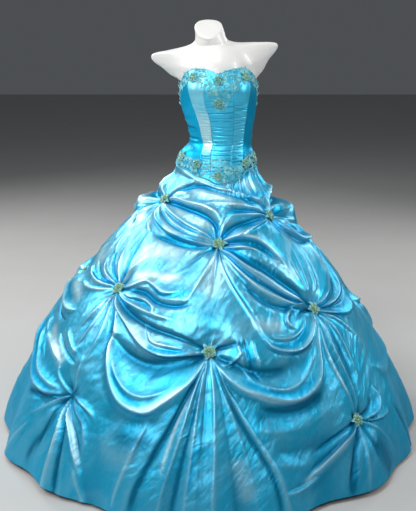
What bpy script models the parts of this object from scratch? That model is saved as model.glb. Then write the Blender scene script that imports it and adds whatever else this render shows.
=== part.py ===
"""Ball gown on a dress form: a strapless boned bodice and a full picked-up skirt.

Metres, +Z up, the front faces -Y. The origin is the centre of the stand's underside, on the floor.
Angles go round the body in degrees: 0 is the front, +90 is the side towards +X, 180 is the back.
Every cloth piece is a closed wall between an outer and an inner surface, open at neck and hem.
"""
import math

import bmesh
import bpy
from mathutils import Vector
from mathutils.bvhtree import BVHTree

# ---- driving sizes -------------------------------------------------------------------------------
SEAM_GAP = 0.0003            # clear space between two pieces at a seam
BODICE_WALL = 0.0020         # satin on coutil, boned
SKIRT_WALL = 0.0025          # satin on its lining
LACE_WALL = 0.0014           # corded lace
LACE_CLEAR = 0.0021          # keeps its flat faces off the panels' edges and bulges
FORM_CLEARANCE = 0.0060      # from the bodice's face in to the dress form
HEM_HEIGHT = 0.010           # the hem's lowest edge above the floor
SKIRT_COLUMNS = 22           # faces across one gore
SKIRT_ROWS = 25              # faces from waist to hem
BODICE_ROWS = 12
BODICE_RADIUS = 0.100        # about; turns a gap at a seam into an angle
ROSETTE_RADIUS = 0.021
FLOWER_RADIUS = 0.017
BEAD_CLEAR = 0.0010          # from the cloth to the underside of rosettes and flowers
PICKUP_DEPTH = 0.032         # how far a pick-up draws the skirt in
PICKUP_REACH = 0.066
PICKUP_FULL_RADIUS = 0.28    # pick-ups on a narrower part of the skirt are shallower
SLANT = 1.35                 # length down the skirt for each metre of height
HEM_WAVES, HEM_SWELLS = 17, 7        # narrow and broad waves round the hem
HEM_WAVE_DEPTH, HEM_SWELL_DEPTH = 0.013, 0.009
HEM_WAVE_TOP = 0.42          # the waves fade out at this height
GATHERS = 26                 # gathers round the waist seam
GATHER_DEPTH = 0.0035
GATHER_LOW, GATHER_SPAN = 0.80, 0.10     # the gathers start at this height and are full this far above it
FLARE_REACH = 0.075          # height over which the skirt leaves the basque edge
FOLD_REACH_ANGLE = 40.0      # a fold further round than this isn't felt
FOLD_END = 0.04              # share of a fold's length over which its end stays open
EDGE_EASE = 0.020            # height under the basque edge over which its folds begin

# Bodice sections: height, middle in X, half width, depth to the front, depth to the back.
BODICE_SECTIONS = (
    (0.880, 0.020, 0.150, 0.146, 0.118),
    (0.907, 0.022, 0.146, 0.138, 0.116),
    (0.940, 0.027, 0.141, 0.127, 0.113),
    (0.962, 0.029, 0.138, 0.119, 0.110),
    (0.998, 0.032, 0.126, 0.104, 0.100),
    (1.015, 0.037, 0.114, 0.096, 0.091),
    (1.037, 0.044, 0.106, 0.090, 0.083),
    (1.083, 0.043, 0.112, 0.094, 0.084),
    (1.123, 0.040, 0.122, 0.102, 0.089),
    (1.164, 0.036, 0.129, 0.110, 0.095),
    (1.212, 0.036, 0.130, 0.116, 0.099),
    (1.240, 0.036, 0.128, 0.114, 0.098),
    (1.290, 0.035, 0.122, 0.104, 0.094),
)
CUP_ANGLE, CUP_HEIGHT, CUP_RISE = 29.0, 1.205, 0.012
CUP_SPREAD_ANGLE, CUP_SPREAD_HEIGHT = 22.0, 0.048

# Edges and seams of the bodice: angle and height, or height and angle.
NECKLINE = ((-180, 1.160), (-130, 1.172), (-100, 1.200), (-90, 1.214), (-78, 1.238), (-67, 1.258),
            (-54, 1.273), (-38, 1.281), (-22, 1.280), (-9, 1.272), (0, 1.266), (9, 1.274), (23, 1.281),
            (38, 1.284), (54, 1.275), (66, 1.261), (77, 1.241), (90, 1.214), (100, 1.200), (130, 1.172),
            (180, 1.160))
BASQUE = ((-180, 0.948), (-150, 0.958), (-90, 0.955), (-74, 0.952), (-47, 0.946), (-29, 0.932),
          (-10, 0.920), (4, 0.906), (19, 0.911), (30, 0.915), (39, 0.928), (49, 0.944), (75, 0.952),
          (90, 0.955), (150, 0.958), (180, 0.948))
SEAM_INNER_LEFT = ((0.90, -7), (0.98, -9), (1.06, -17), (1.11, -17), (1.19, -21), (1.29, -21))
SEAM_INNER_RIGHT = ((0.90, 20), (0.98, 21), (1.06, 22), (1.11, 22), (1.19, 21), (1.29, 20))
SEAM_OUTER_LEFT = ((0.90, -20), (0.98, -23), (1.015, -29), (1.06, -38), (1.14, -40), (1.23, -51), (1.29, -55))
SEAM_OUTER_RIGHT = ((0.90, 37), (0.98, 41), (1.015, 46), (1.08, 46), (1.14, 47), (1.24, 53), (1.29, 55))
SIDE_BACK_ANGLE = 103.0
SEAM_LOW, SEAM_HIGH = 0.93, 1.27     # heights that stand for the two edges where a seam's angle is read

# Bodice panels, round the body: name, left seam, right seam, faces across, and whether it is ruched.
BODICE_PANELS = (
    ("bodice_back_left", -180.0, -SIDE_BACK_ANGLE, 7, False),
    ("bodice_side_left", -SIDE_BACK_ANGLE, SEAM_OUTER_LEFT, 7, False),
    ("bodice_side_front_left", SEAM_OUTER_LEFT, SEAM_INNER_LEFT, 4, True),
    ("bodice_front_centre", SEAM_INNER_LEFT, SEAM_INNER_RIGHT, 5, True),
    ("bodice_side_front_right", SEAM_INNER_RIGHT, SEAM_OUTER_RIGHT, 4, True),
    ("bodice_side_right", SEAM_OUTER_RIGHT, SIDE_BACK_ANGLE, 7, False),
    ("bodice_back_right", SIDE_BACK_ANGLE, 180.0, 7, False),
)
SATIN_FRONT = ("satin_bodice_front", (0.36, 0.80, 0.95), 0.35)
SATIN_SIDE = ("satin_bodice_side", (0.03, 0.60, 0.88), 0.35)

# Skirt sections: height, radius, middle in X, depth as a share of the radius.
SKIRT_SECTIONS = (
    (0.000, 0.758, 0.003, 1.00),
    (0.080, 0.735, 0.003, 1.00),
    (0.280, 0.640, 0.004, 1.00),
    (0.480, 0.522, 0.004, 1.00),
    (0.630, 0.405, 0.005, 1.00),
    (0.730, 0.318, 0.005, 0.99),
    (0.810, 0.240, 0.006, 0.96),
    (0.860, 0.200, 0.010, 0.93),
    (0.900, 0.172, 0.018, 0.90),
    (0.930, 0.150, 0.026, 0.88),
    (0.990, 0.124, 0.032, 0.86),
)

# Pick-ups: name, angle, height, and whether a rosette is sewn on.
PICKUPS = (
    ("front_left_1", -56.5, 0.859, True), ("front_right_1", 60.5, 0.805, True),
    ("back_right_1", 128, 0.832, True), ("back_left_1", -129, 0.840, True),
    ("front_2", 6, 0.756, True), ("side_right_2", 93, 0.690, True),
    ("side_left_2", -93, 0.770, True), ("back_2", 180, 0.750, True),
    ("front_left_3", -46.5, 0.604, True), ("front_right_3", 47.5, 0.543, True),
    ("back_right_3", 135, 0.550, True), ("back_left_3", -135, 0.585, True),
    ("front_4", 0, 0.471, True), ("side_right_4", 88, 0.490, True),
    ("side_left_4", -91, 0.570, True), ("back_4", 180, 0.470, True),
    ("front_left_5", -45.5, 0.287, False), ("front_right_5", 45.5, 0.213, True),
    ("back_right_5", 136, 0.240, True), ("back_left_5", -137, 0.270, True),
)

# Large folds: how far they stand out, their spread above and below, then angle and height along them.
# A swag hangs as a U from pick-up to pick-up, full above its edge and steep below.
FOLDS = (
    (0.026, 0.036, 0.034, ((-88, 0.945), (-35.5, 0.926), (-8.1, 0.912), (28.1, 0.880), (51.5, 0.857),
                           (62.1, 0.830))),
    (0.030, 0.046, 0.034, ((-56.2, 0.847), (-43.5, 0.802), (-22, 0.765), (-9.6, 0.757), (5, 0.760))),
    (0.012, 0.036, 0.034, ((-50.8, 0.844), (-31, 0.816), (-11.8, 0.785), (4, 0.764))),
    (0.028, 0.040, 0.034, ((61.4, 0.800), (64.7, 0.736), (74, 0.712), (90, 0.700))),
    (0.020, 0.036, 0.034, ((8.9, 0.761), (22.3, 0.759), (33.1, 0.735), (40, 0.672))),
    (0.026, 0.036, 0.034, ((8, 0.746), (14.2, 0.692), (24, 0.630), (34.4, 0.574), (45.3, 0.553))),
    (-0.022, 0.032, 0.032, ((8.9, 0.741), (19.1, 0.696), (30, 0.650), (40.4, 0.598), (46, 0.563))),
    (0.026, 0.040, 0.034, ((-45.5, 0.607), (-28.4, 0.629), (-19, 0.608), (-6, 0.628))),
    (0.034, 0.036, 0.034, ((-44.3, 0.597), (-28.1, 0.540), (-22, 0.480), (-15, 0.453), (-2, 0.467))),
    (-0.024, 0.040, 0.040, ((-24, 0.420), (-14, 0.400), (-4, 0.433))),
    (0.044, 0.055, 0.034, ((-44.9, 0.581), (-35, 0.470), (-30, 0.388), (-24, 0.338), (-16, 0.318), (-9, 0.370),
                           (-1, 0.456))),
    (0.044, 0.055, 0.034, ((1, 0.456), (6, 0.401), (12, 0.358), (20, 0.332), (28, 0.328), (34, 0.360),
                           (38, 0.430), (46.3, 0.530))),
    (-0.024, 0.040, 0.040, ((8, 0.442), (18, 0.400), (28, 0.410))),
    (0.024, 0.036, 0.034, ((21, 0.478), (26, 0.455), (32, 0.452), (37.4, 0.488), (45.4, 0.536))),
    (0.044, 0.055, 0.034, ((-88, 0.470), (-80, 0.400), (-70, 0.320), (-60, 0.268), (-50.8, 0.266),
                           (-46.4, 0.284))),
    (0.026, 0.036, 0.034, ((72, 0.680), (72, 0.630), (64, 0.570), (51.9, 0.549))),
    (0.030, 0.036, 0.034, ((48.5, 0.539), (58.2, 0.501), (68, 0.500), (78, 0.560))),
    (0.018, 0.036, 0.034, ((47.3, 0.528), (46, 0.420), (46, 0.320), (46.3, 0.227))),
    (0.034, 0.036, 0.034, ((46.4, 0.212), (52.4, 0.206), (58, 0.235), (58, 0.300))),
    (0.040, 0.044, 0.034, ((18, 0.086), (25, 0.094), (31, 0.135), (37.7, 0.179), (44.4, 0.205))),
    (0.036, 0.044, 0.034, ((60, 0.330), (72, 0.270), (84, 0.290), (90, 0.380))),
    (-0.020, 0.032, 0.032, ((-2, 0.445), (-9, 0.350), (-13, 0.250), (-17, 0.060))),
    (-0.014, 0.032, 0.032, ((3, 0.445), (8, 0.330), (12, 0.245), (17, 0.120), (19, 0.020))),
    (-0.022, 0.032, 0.032, ((-45.2, 0.270), (-44, 0.150), (-47, 0.020))),
    (0.020, 0.036, 0.034, ((-44.2, 0.270), (-39, 0.170), (-34, 0.090))),
    (-0.022, 0.032, 0.032, ((44.3, 0.202), (38, 0.110), (35, 0.020))),
)
# Puffs and hollows at the two sides: angle, height, how far out, spread in degrees and in height.
PUFFS = (
    (-92, 0.858, -0.020, 26, 0.016), (-92, 0.812, 0.030, 26, 0.030), (-92, 0.548, 0.024, 20, 0.034),
    (-92, 0.360, 0.012, 20, 0.030), (92, 0.862, 0.018, 26, 0.014), (92, 0.832, -0.010, 22, 0.012),
    (92, 0.784, 0.036, 26, 0.030), (92, 0.690, 0.012, 20, 0.060),
)
# The hidden half has the same kind of folds: the front's, turned to the back and hung a little differently.
BACK_TURN, BACK_SHIFT, BACK_RISE = 180.0, -2.0, 0.012
SIDE_BLEND_START, SIDE_BLEND_WIDTH = 82.0, 18.0    # angles over which the front's folds give way to the back's


# ---- small helpers ---------------------------------------------------------------------------------
def smooth(value):
    value = min(max(value, 0.0), 1.0)
    return value * value * (3.0 - 2.0 * value)


def mix(first, second, share):
    return first + (second - first) * share


def read_table(table, key, column=1):
    """Value of a column at a key, on a smooth curve through the rows (monotone cubic steps)."""
    if key <= table[0][0]:
        return table[0][column]
    for index in range(len(table) - 1):
        low, high = table[index], table[index + 1]
        if key <= high[0]:
            span = high[0] - low[0]
            slope = (high[column] - low[column]) / span
            before = table[index - 1] if index else low
            after = table[index + 2] if index + 2 < len(table) else high
            slope_in = tangent(before, low, slope, column)
            slope_out = tangent(high, after, slope, column)
            share = (key - low[0]) / span
            return hermite(low[column], high[column], slope_in * span, slope_out * span, share)
    return table[-1][column]


def tangent(first, second, slope, column):
    """Slope at the row that two spans share: their harmonic mean, or flat at a turn."""
    if second[0] == first[0]:
        return slope
    other = (second[column] - first[column]) / (second[0] - first[0])
    if other * slope <= 0.0:
        return 0.0
    return 2.0 * other * slope / (other + slope)


def hermite(start, end, slope_in, slope_out, share):
    square, cube = share * share, share * share * share
    return (start * (2 * cube - 3 * square + 1) + slope_in * (cube - 2 * square + share)
            + end * (3 * square - 2 * cube) + slope_out * (cube - square))


def angle_between(first, second):
    """Turn from second to first, from -180 to 180 degrees."""
    return (first - second + 180.0) % 360.0 - 180.0


def normal_of(surface, across, along, step_across=0.4, step_along=0.004):
    """Outward normal of a surface(across, along) by small steps; along runs upwards."""
    side = surface(across + step_across, along) - surface(across - step_across, along)
    rise = surface(across, along + step_along) - surface(across, along - step_along)
    return side.cross(rise).normalized()


# ---- the bodice's face -----------------------------------------------------------------------------
def bodice_face(angle, height):
    turn = math.radians(angle)
    middle = read_table(BODICE_SECTIONS, height, 1)
    width = read_table(BODICE_SECTIONS, height, 2)
    front = read_table(BODICE_SECTIONS, height, 3)
    back = read_table(BODICE_SECTIONS, height, 4)
    depth = mix(back, front, 0.5 + 0.5 * math.cos(turn))
    cups = 0.0
    for side in (-1, 1):
        across = angle_between(angle, side * CUP_ANGLE) / CUP_SPREAD_ANGLE
        up = (height - CUP_HEIGHT) / CUP_SPREAD_HEIGHT
        cups += CUP_RISE * math.exp(-across * across - up * up)
    x = middle + (width + cups) * math.sin(turn)
    y = -(depth + cups) * math.cos(turn)
    return Vector((x, y, height))


def bodice_point(angle, height, outwards):
    return bodice_face(angle, height) + normal_of(bodice_face, angle, height) * outwards


def seam_angle(seam, height):
    """A seam is a table of heights and angles, or one fixed angle."""
    return seam if isinstance(seam, float) else read_table(seam, height)


def panel_spot(left, right, across, up):
    """Angle and height of a place on a panel: share across it and share up it."""
    bottom_angle = mix(seam_angle(left, SEAM_LOW), seam_angle(right, SEAM_LOW), across)
    top_angle = mix(seam_angle(left, SEAM_HIGH), seam_angle(right, SEAM_HIGH), across)
    height = mix(read_table(BASQUE, bottom_angle), read_table(NECKLINE, top_angle), up)
    return mix(seam_angle(left, height), seam_angle(right, height), across), height


def basque_corners():
    """Corners of the panels along the bodice's lower edge, from the left of the back right round."""
    corners = []
    for _, left, right, columns, _ in BODICE_PANELS:
        for column in range(columns):
            angle, height = panel_spot(left, right, column / columns, 0.0)
            corners.append((angle, bodice_face(angle, height)))
    angle, height = panel_spot(BODICE_PANELS[-1][1], BODICE_PANELS[-1][2], 1.0, 0.0)
    corners.append((angle, bodice_face(angle, height)))
    return corners


def basque_join(angle):
    """Where the skirt meets the bodice's lower edge, on the straight side between two corners."""
    angle = angle_between(angle, 0)
    for index in range(len(BASQUE_CORNERS) - 1):
        low, high = BASQUE_CORNERS[index], BASQUE_CORNERS[index + 1]
        if angle <= high[0]:
            return mix(low[1], high[1], (angle - low[0]) / (high[0] - low[0]))
    return BASQUE_CORNERS[-1][1]


BASQUE_CORNERS = basque_corners()


# ---- the skirt's face ------------------------------------------------------------------------------
def fold_distance(angle, height, first, second):
    """Distance to one stretch of a fold, share along it, and which side: +1 above, -1 below."""
    radius = math.radians(1.0) * max(read_table(SKIRT_SECTIONS, height, 1), 0.1)
    ax = angle_between(first[0], angle) * radius
    ay = (first[1] - height) * SLANT
    bx = angle_between(second[0], angle) * radius
    by = (second[1] - height) * SLANT
    length = (bx - ax) ** 2 + (by - ay) ** 2
    share = min(max(-(ax * (bx - ax) + ay * (by - ay)) / length, 0.0), 1.0)
    gap = math.hypot(mix(ax, bx, share), mix(ay, by, share))
    side = 1.0 if (bx - ax) * ay - (by - ay) * ax < 0.0 else -1.0
    return gap, share, side


def fold_relief(angle, height, fold, turn=0.0, rise=0.0):
    """How far one fold lifts the skirt here; it dies away at both ends."""
    out, spread_above, spread_below, route = fold
    best = None
    steps = len(route) - 1
    for index in range(steps):
        first = (route[index][0] + turn, route[index][1] + rise)
        second = (route[index + 1][0] + turn, route[index + 1][1] + rise)
        near = min(abs(angle_between(first[0], angle)), abs(angle_between(second[0], angle)))
        if near > FOLD_REACH_ANGLE:
            continue
        gap, share, side = fold_distance(angle, height, first, second)
        if best is None or gap < best[0]:
            best = (gap, (index + share) / steps, side)
    if best is None:
        return 0.0
    gap, along, side = best
    spread = spread_above if side > 0 else spread_below
    ends = math.sin(math.pi * min(max(along, FOLD_END), 1.0 - FOLD_END)) ** 0.5
    return out * ends * math.exp(-(gap / spread) ** 2)


def skirt_relief(angle, height, edge):
    """Pick-ups, large folds, waist gathers and hem waves, measured out from the plain skirt."""
    radius = read_table(SKIRT_SECTIONS, height, 1)
    relief = 0.0
    for _, at_angle, at_height, _ in PICKUPS:
        across = math.radians(angle_between(angle, at_angle)) * radius
        down = (height - at_height) * SLANT
        reach = math.hypot(across, down) / PICKUP_REACH
        if reach < 3.0:
            relief -= PICKUP_DEPTH * min(1.0, radius / PICKUP_FULL_RADIUS) * math.exp(-reach * reach)
    for at_angle, at_height, out, spread_angle, spread_height in PUFFS:
        across = angle_between(angle, at_angle) / spread_angle
        up = (height - at_height) / spread_height
        relief += out * math.exp(-across * across - up * up)
    back_share = smooth((abs(angle_between(angle, 0)) - SIDE_BLEND_START) / SIDE_BLEND_WIDTH)
    for fold in FOLDS:
        if back_share < 1.0:
            relief += (1.0 - back_share) * fold_relief(angle, height, fold)
        if back_share > 0.0:
            relief += back_share * fold_relief(angle, height, fold, BACK_TURN + BACK_SHIFT, BACK_RISE)
    gather = smooth((height - GATHER_LOW) / GATHER_SPAN)
    relief += GATHER_DEPTH * gather * math.cos(math.radians(GATHERS * angle))
    waves = smooth((HEM_WAVE_TOP - height) / HEM_WAVE_TOP)
    drift = 40.0 * math.sin(math.radians(3 * angle + 40)) + 25.0 * math.sin(math.radians(5 * angle))
    relief += HEM_WAVE_DEPTH * waves * math.cos(math.radians(HEM_WAVES * angle + drift))
    relief += HEM_SWELL_DEPTH * waves * math.cos(math.radians(HEM_SWELLS * angle - drift))
    return relief * smooth((edge - height) / EDGE_EASE)


def skirt_face(angle, height):
    """Face of the skirt: it leaves the basque edge and flares into the full sections."""
    join = basque_join(angle)
    edge = join.z
    radius = read_table(SKIRT_SECTIONS, height, 1)
    middle = read_table(SKIRT_SECTIONS, height, 2)
    depth = read_table(SKIRT_SECTIONS, height, 3)
    turn = math.radians(angle)
    flare = smooth((edge - height) / FLARE_REACH)
    x = mix(join.x, middle + radius * math.sin(turn), flare)
    y = mix(join.y, -radius * depth * math.cos(turn), flare)
    slope = (read_table(SKIRT_SECTIONS, height - 0.01, 1) - read_table(SKIRT_SECTIONS, height + 0.01, 1)) / 0.02
    out = skirt_relief(angle, height, edge) / math.hypot(1.0, slope)
    return Vector((x + out * math.sin(turn), y - out * math.cos(turn), height + out * slope * 0.8))


def skirt_point(angle, height, outwards):
    return skirt_face(angle, height) + normal_of(skirt_face, angle, height, 0.6, 0.006) * outwards


# ---- making closed walls ---------------------------------------------------------------------------
EDGE_ANGLE = 75.0        # edges that turn more than this stay crisp


def make_object(name, verts, faces, material):
    mesh = bpy.data.meshes.new(name)
    mesh.from_pydata([tuple(v) for v in verts], [], faces)
    mesh.materials.append(material)
    shape = bmesh.new()
    shape.from_mesh(mesh)
    bmesh.ops.recalc_face_normals(shape, faces=shape.faces)
    bmesh.ops.triangulate(shape, faces=shape.faces)
    shape.to_mesh(mesh)
    shape.free()
    mesh.shade_smooth()
    mesh.set_sharp_from_angle(angle=math.radians(EDGE_ANGLE))
    obj = bpy.data.objects.new(name, mesh)
    bpy.context.scene.collection.objects.link(obj)
    return obj


def wall_from_grid(name, outer, inner, material, open_cells=()):
    """Closed wall between two grids of points; rows run along, columns across. Open cells are cut through."""
    rows, columns = len(outer), len(outer[0])
    verts, faces, index = [], [], {}

    def corner(layer, row, column):
        key = (layer, row, column)
        if key not in index:
            index[key] = len(verts)
            verts.append((outer, inner)[layer][row][column])
        return index[key]

    filled = {(r, c) for r in range(rows - 1) for c in range(columns - 1)} - set(open_cells)
    for row, column in sorted(filled):
        ring = ((row, column), (row, column + 1), (row + 1, column + 1), (row + 1, column))
        faces.append([corner(0, *spot) for spot in ring])
        faces.append([corner(1, *spot) for spot in reversed(ring)])
        sides = (((row - 1, column), 0, 1), ((row, column + 1), 1, 2),
                 ((row + 1, column), 2, 3), ((row, column - 1), 3, 0))
        for neighbour, first, second in sides:
            if neighbour not in filled:
                faces.append([corner(0, *ring[second]), corner(0, *ring[first]),
                              corner(1, *ring[first]), corner(1, *ring[second])])
    return make_object(name, verts, faces, material)


def cloth_material(name, colour, roughness, metallic=0.0):
    material = bpy.data.materials.new(name)
    material.use_nodes = True
    shader = material.node_tree.nodes["Principled BSDF"]
    shader.inputs["Base Color"].default_value = (*colour, 1.0)
    shader.inputs["Roughness"].default_value = roughness
    shader.inputs["Metallic"].default_value = metallic
    material.diffuse_color = (*colour, 1.0)
    return material


# ---- bodice ----------------------------------------------------------------------------------------
def bodice_panel(name, left, right, columns, material):
    """One bodice panel between two seams, drawn in from each by half the seam gap."""
    outer, inner = [], []
    for row in range(BODICE_ROWS + 1):
        outer_row, inner_row = [], []
        for column in range(columns + 1):
            angle, height = panel_spot(left, right, column / columns, row / BODICE_ROWS)
            pull = {0: 1.0, columns: -1.0}.get(column, 0.0)
            angle += pull * math.degrees(0.7 * SEAM_GAP / BODICE_RADIUS)
            outer_row.append(bodice_point(angle, height, 0.0))
            inner_row.append(bodice_point(angle, height, -BODICE_WALL))
        outer.append(outer_row)
        inner.append(inner_row)
    return wall_from_grid(name, outer, inner, material)


def build_bodice():
    for name, left, right, columns, ruched in BODICE_PANELS:
        satin = SATIN_FRONT if ruched else SATIN_SIDE
        bodice_panel(name, left, right, columns, cloth_material(satin[0], satin[1], satin[2]))


# ---- skirt -----------------------------------------------------------------------------------------
def skirt_gore(name, start, end, material):
    """One gore from the basque edge to the hem, between two seams."""
    outer, inner = [], []
    for row in range(SKIRT_ROWS + 1):
        outer_row, inner_row = [], []
        for column in range(SKIRT_COLUMNS + 1):
            angle = mix(start, end, column / SKIRT_COLUMNS)
            top = basque_join(angle).z - 3.0 * SEAM_GAP
            height = mix(HEM_HEIGHT + SKIRT_WALL, top, row / SKIRT_ROWS)
            radius = max(read_table(SKIRT_SECTIONS, height, 1), 0.12)
            pull = {0: 1.0, SKIRT_COLUMNS: -1.0}.get(column, 0.0)
            angle += pull * math.degrees(0.5 * SEAM_GAP * 1.6 / radius)
            outer_row.append(skirt_point(angle, height, 0.0))
            inner_row.append(skirt_point(angle, height, -SKIRT_WALL))
        outer.append(outer_row)
        inner.append(inner_row)
    floor_row(outer[0])
    floor_row(inner[0])
    return wall_from_grid(name, outer, inner, material)


def floor_row(points):
    """The hem hangs to one level all round."""
    for point in points:
        point.z = HEM_HEIGHT


def build_skirt():
    satin = cloth_material("satin_skirt", (0.10, 0.62, 0.85), 0.30)
    return [
        skirt_gore("skirt_front_left", -90.0, 0.0, satin),
        skirt_gore("skirt_front_right", 0.0, 90.0, satin),
        skirt_gore("skirt_back_right", 90.0, 180.0, satin),
        skirt_gore("skirt_back_left", -180.0, -90.0, satin),
    ]


# ---- rosettes and flowers --------------------------------------------------------------------------
BLOSSOM_PETALS = 5
BLOSSOM_RINGS = ((1.0, 0.22), (0.80, 0.62), (0.42, 1.0))      # share of the radius and of the height
BLOSSOM_HEART = 1.15                                          # height of the middle over the last ring
PETAL_OUT, PETAL_IN = 0.16, -0.10
ROSETTE_HEIGHT, FLOWER_HEIGHT = 0.011, 0.007
ROSETTE_FEEL, FLOWER_FEEL = 0.007, 0.006                      # how far round a point its ground is looked for
FEEL_START, FEEL_LENGTH = 0.08, 0.20


def blossom(name, centre, normal, radius, height, ground, material):
    """Beaded blossom: lobed rings that rise to a domed heart, over the cloth that ground() reports.

    With one ground level for the whole blossom its underside is flat, and otherwise it follows the cloth.
    """
    side = Vector((0.0, 0.0, 1.0)).cross(normal).normalized()
    top = normal.cross(side)
    spokes = BLOSSOM_PETALS * 2
    verts, faces, under = [], [], []
    for share, rise in BLOSSOM_RINGS:
        for spoke in range(spokes):
            turn = 2.0 * math.pi * spoke / spokes
            lobe = 1.0 + (PETAL_OUT if spoke % 2 else PETAL_IN) * share
            place = centre + (side * math.cos(turn) + top * math.sin(turn)) * radius * share * lobe
            level = ground(place, normal)
            verts.append(place + normal * (level + height * rise))
            if share == 1.0:
                under.append(place + normal * level)
    heart = len(verts)
    middle = centre + normal * ground(centre, normal)
    verts.append(middle + normal * height * BLOSSOM_HEART)
    verts += under + [middle]
    for ring in range(len(BLOSSOM_RINGS) - 1):
        for spoke in range(spokes):
            following = (spoke + 1) % spokes
            first, second = ring * spokes, (ring + 1) * spokes
            faces.append([first + spoke, first + following, second + following, second + spoke])
    last = (len(BLOSSOM_RINGS) - 1) * spokes
    for spoke in range(spokes):
        following = (spoke + 1) % spokes
        below, below_next = heart + 1 + spoke, heart + 1 + following
        faces.append([last + spoke, last + following, heart])
        faces.append([spoke, below, below_next, following])
        faces.append([below_next, below, len(verts) - 1])
    return make_object(name, verts, faces, material)


def level_ground(ground, centre, normal, radius):
    """The highest ground under a whole blossom, for one that lies flat on the lace."""
    side = Vector((0.0, 0.0, 1.0)).cross(normal).normalized()
    top = normal.cross(side)
    levels = [ground(centre, normal)]
    for share in (0.55, 1.1):
        for spoke in range(12):
            turn = math.pi * spoke / 6.0
            levels.append(ground(centre + (side * math.cos(turn) + top * math.sin(turn)) * radius * share, normal))
    highest = max(levels)
    return lambda place, direction: highest


def cloth_ground(trees, clear, reach):
    """Height of the cloth over a plane, the highest within reach, plus a clear space."""
    def ground(place, normal):
        side = Vector((0.0, 0.0, 1.0)).cross(normal).normalized()
        top = normal.cross(side)
        offsets = [(0.0, 0.0)] + [(math.cos(k * math.pi / 4) * reach * s, math.sin(k * math.pi / 4) * reach * s)
                                  for k in range(8) for s in (0.5, 1.0)]
        best = None
        for across, upwards in offsets:
            start = place + side * across + top * upwards + normal * FEEL_START
            for tree in trees:
                hit = tree.ray_cast(start, -normal, FEEL_LENGTH)
                if hit[0] is not None:
                    level = FEEL_START - hit[3]
                    best = level if best is None else max(best, level)
        return (0.0 if best is None else best) + clear
    return ground


def tree_of(obj):
    mesh = obj.data
    verts = [v.co.copy() for v in mesh.vertices]
    return BVHTree.FromPolygons(verts, [tuple(p.vertices) for p in mesh.polygons])


def build_rosettes(gores):
    beads = cloth_material("rosette_beads", (0.36, 0.42, 0.28), 0.35, 0.3)
    ground = cloth_ground([tree_of(gore) for gore in gores], BEAD_CLEAR, ROSETTE_FEEL)
    for name, angle, height, has_rosette in PICKUPS:
        if not has_rosette:
            continue
        centre = skirt_face(angle, height)
        normal = plain_skirt_normal(angle, height)
        blossom("rosette_" + name, centre, normal, ROSETTE_RADIUS, ROSETTE_HEIGHT, ground, beads)


def plain_skirt_normal(angle, height):
    """Outward direction of the skirt without its folds."""
    slope = (read_table(SKIRT_SECTIONS, height - 0.03, 1) - read_table(SKIRT_SECTIONS, height + 0.03, 1)) / 0.06
    turn = math.radians(angle)
    return Vector((math.sin(turn), -math.cos(turn), slope)).normalized()


# ---- lace ------------------------------------------------------------------------------------------
# Lace pieces: name, start and end angle, columns, rows, edge they hang from, depth table by angle.
NECK_DEPTH = ((-103, 0.050), (-85, 0.030), (-60, 0.045), (-44, 0.030), (-30, 0.046), (-20, 0.060),
              (-10, 0.098), (0, 0.125), (8, 0.130), (16, 0.085), (30, 0.062), (44, 0.040), (60, 0.045),
              (85, 0.030), (103, 0.050))
HIP_DEPTH = ((-180, 0.030), (-110, 0.030), (-80, 0.042), (-50, 0.040), (-25, 0.050), (-8, 0.062),
             (4, 0.082), (16, 0.066), (30, 0.044), (50, 0.046), (80, 0.042), (110, 0.030), (180, 0.030))
LACE_PIECES = (
    ("lace_neckline_left", -103.0, -21.0, 12, 4, "neck"),
    ("lace_neckline_centre", -21.0, 20.0, 8, 6, "neck"),
    ("lace_neckline_right", 20.0, 103.0, 12, 4, "neck"),
    ("lace_hip_left", -103.0, -21.0, 12, 3, "hip"),
    ("lace_hip_centre", -21.0, 36.0, 10, 4, "hip"),
    ("lace_hip_right", 36.0, 103.0, 10, 3, "hip"),
    ("lace_hip_back_left", -179.8, -103.0, 10, 2, "hip"),
    ("lace_hip_back_right", 103.0, 179.8, 10, 2, "hip"),
)


LACE_MARGIN = 0.35       # degrees kept clear at each end
LACE_INSET = 0.0008      # from the bodice's edge to the lace's
SCALLOP = 0.16


def lace_piece(name, start, end, columns, rows, edge, material):
    """Corded lace on the bodice, with scallops along its free edge and gaps cut through."""
    outer, inner, gaps = [], [], []
    for row in range(rows + 1):
        outer_row, inner_row = [], []
        for column in range(columns + 1):
            angle = mix(start + LACE_MARGIN, end - LACE_MARGIN, column / columns)
            scallop = 1.0 - SCALLOP * (column % 2)
            if edge == "neck":
                rim = read_table(NECKLINE, angle) - LACE_INSET
                height = rim - read_table(NECK_DEPTH, angle) * scallop * (1.0 - row / rows)
            else:
                rim = read_table(BASQUE, angle) + LACE_INSET
                height = rim + read_table(HIP_DEPTH, angle) * scallop * row / rows
            outer_row.append(bodice_point(angle, height, LACE_CLEAR + LACE_WALL))
            inner_row.append(bodice_point(angle, height, LACE_CLEAR))
        outer.append(outer_row)
        inner.append(inner_row)
    for row in range(1, rows - 1, 2):
        for column in range(1 + (row // 2) % 2, columns - 1, 2):
            gaps.append((row, column))
    return wall_from_grid(name, outer, inner, material, gaps)


# Beaded flowers: name, angle and height on the bodice.
FLOWERS = (
    ("flower_bust_left", -40, 1.252), ("flower_bust_middle", 0, 1.245), ("flower_bust_right", 42, 1.256),
    ("flower_bust_lower", 0, 1.170), ("flower_hip_left_side", -64, 0.985), ("flower_hip_left", -29, 0.968),
    ("flower_hip_point", 3, 0.932), ("flower_hip_right", 44, 0.968), ("flower_hip_right_side", 70, 0.975),
)


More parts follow.
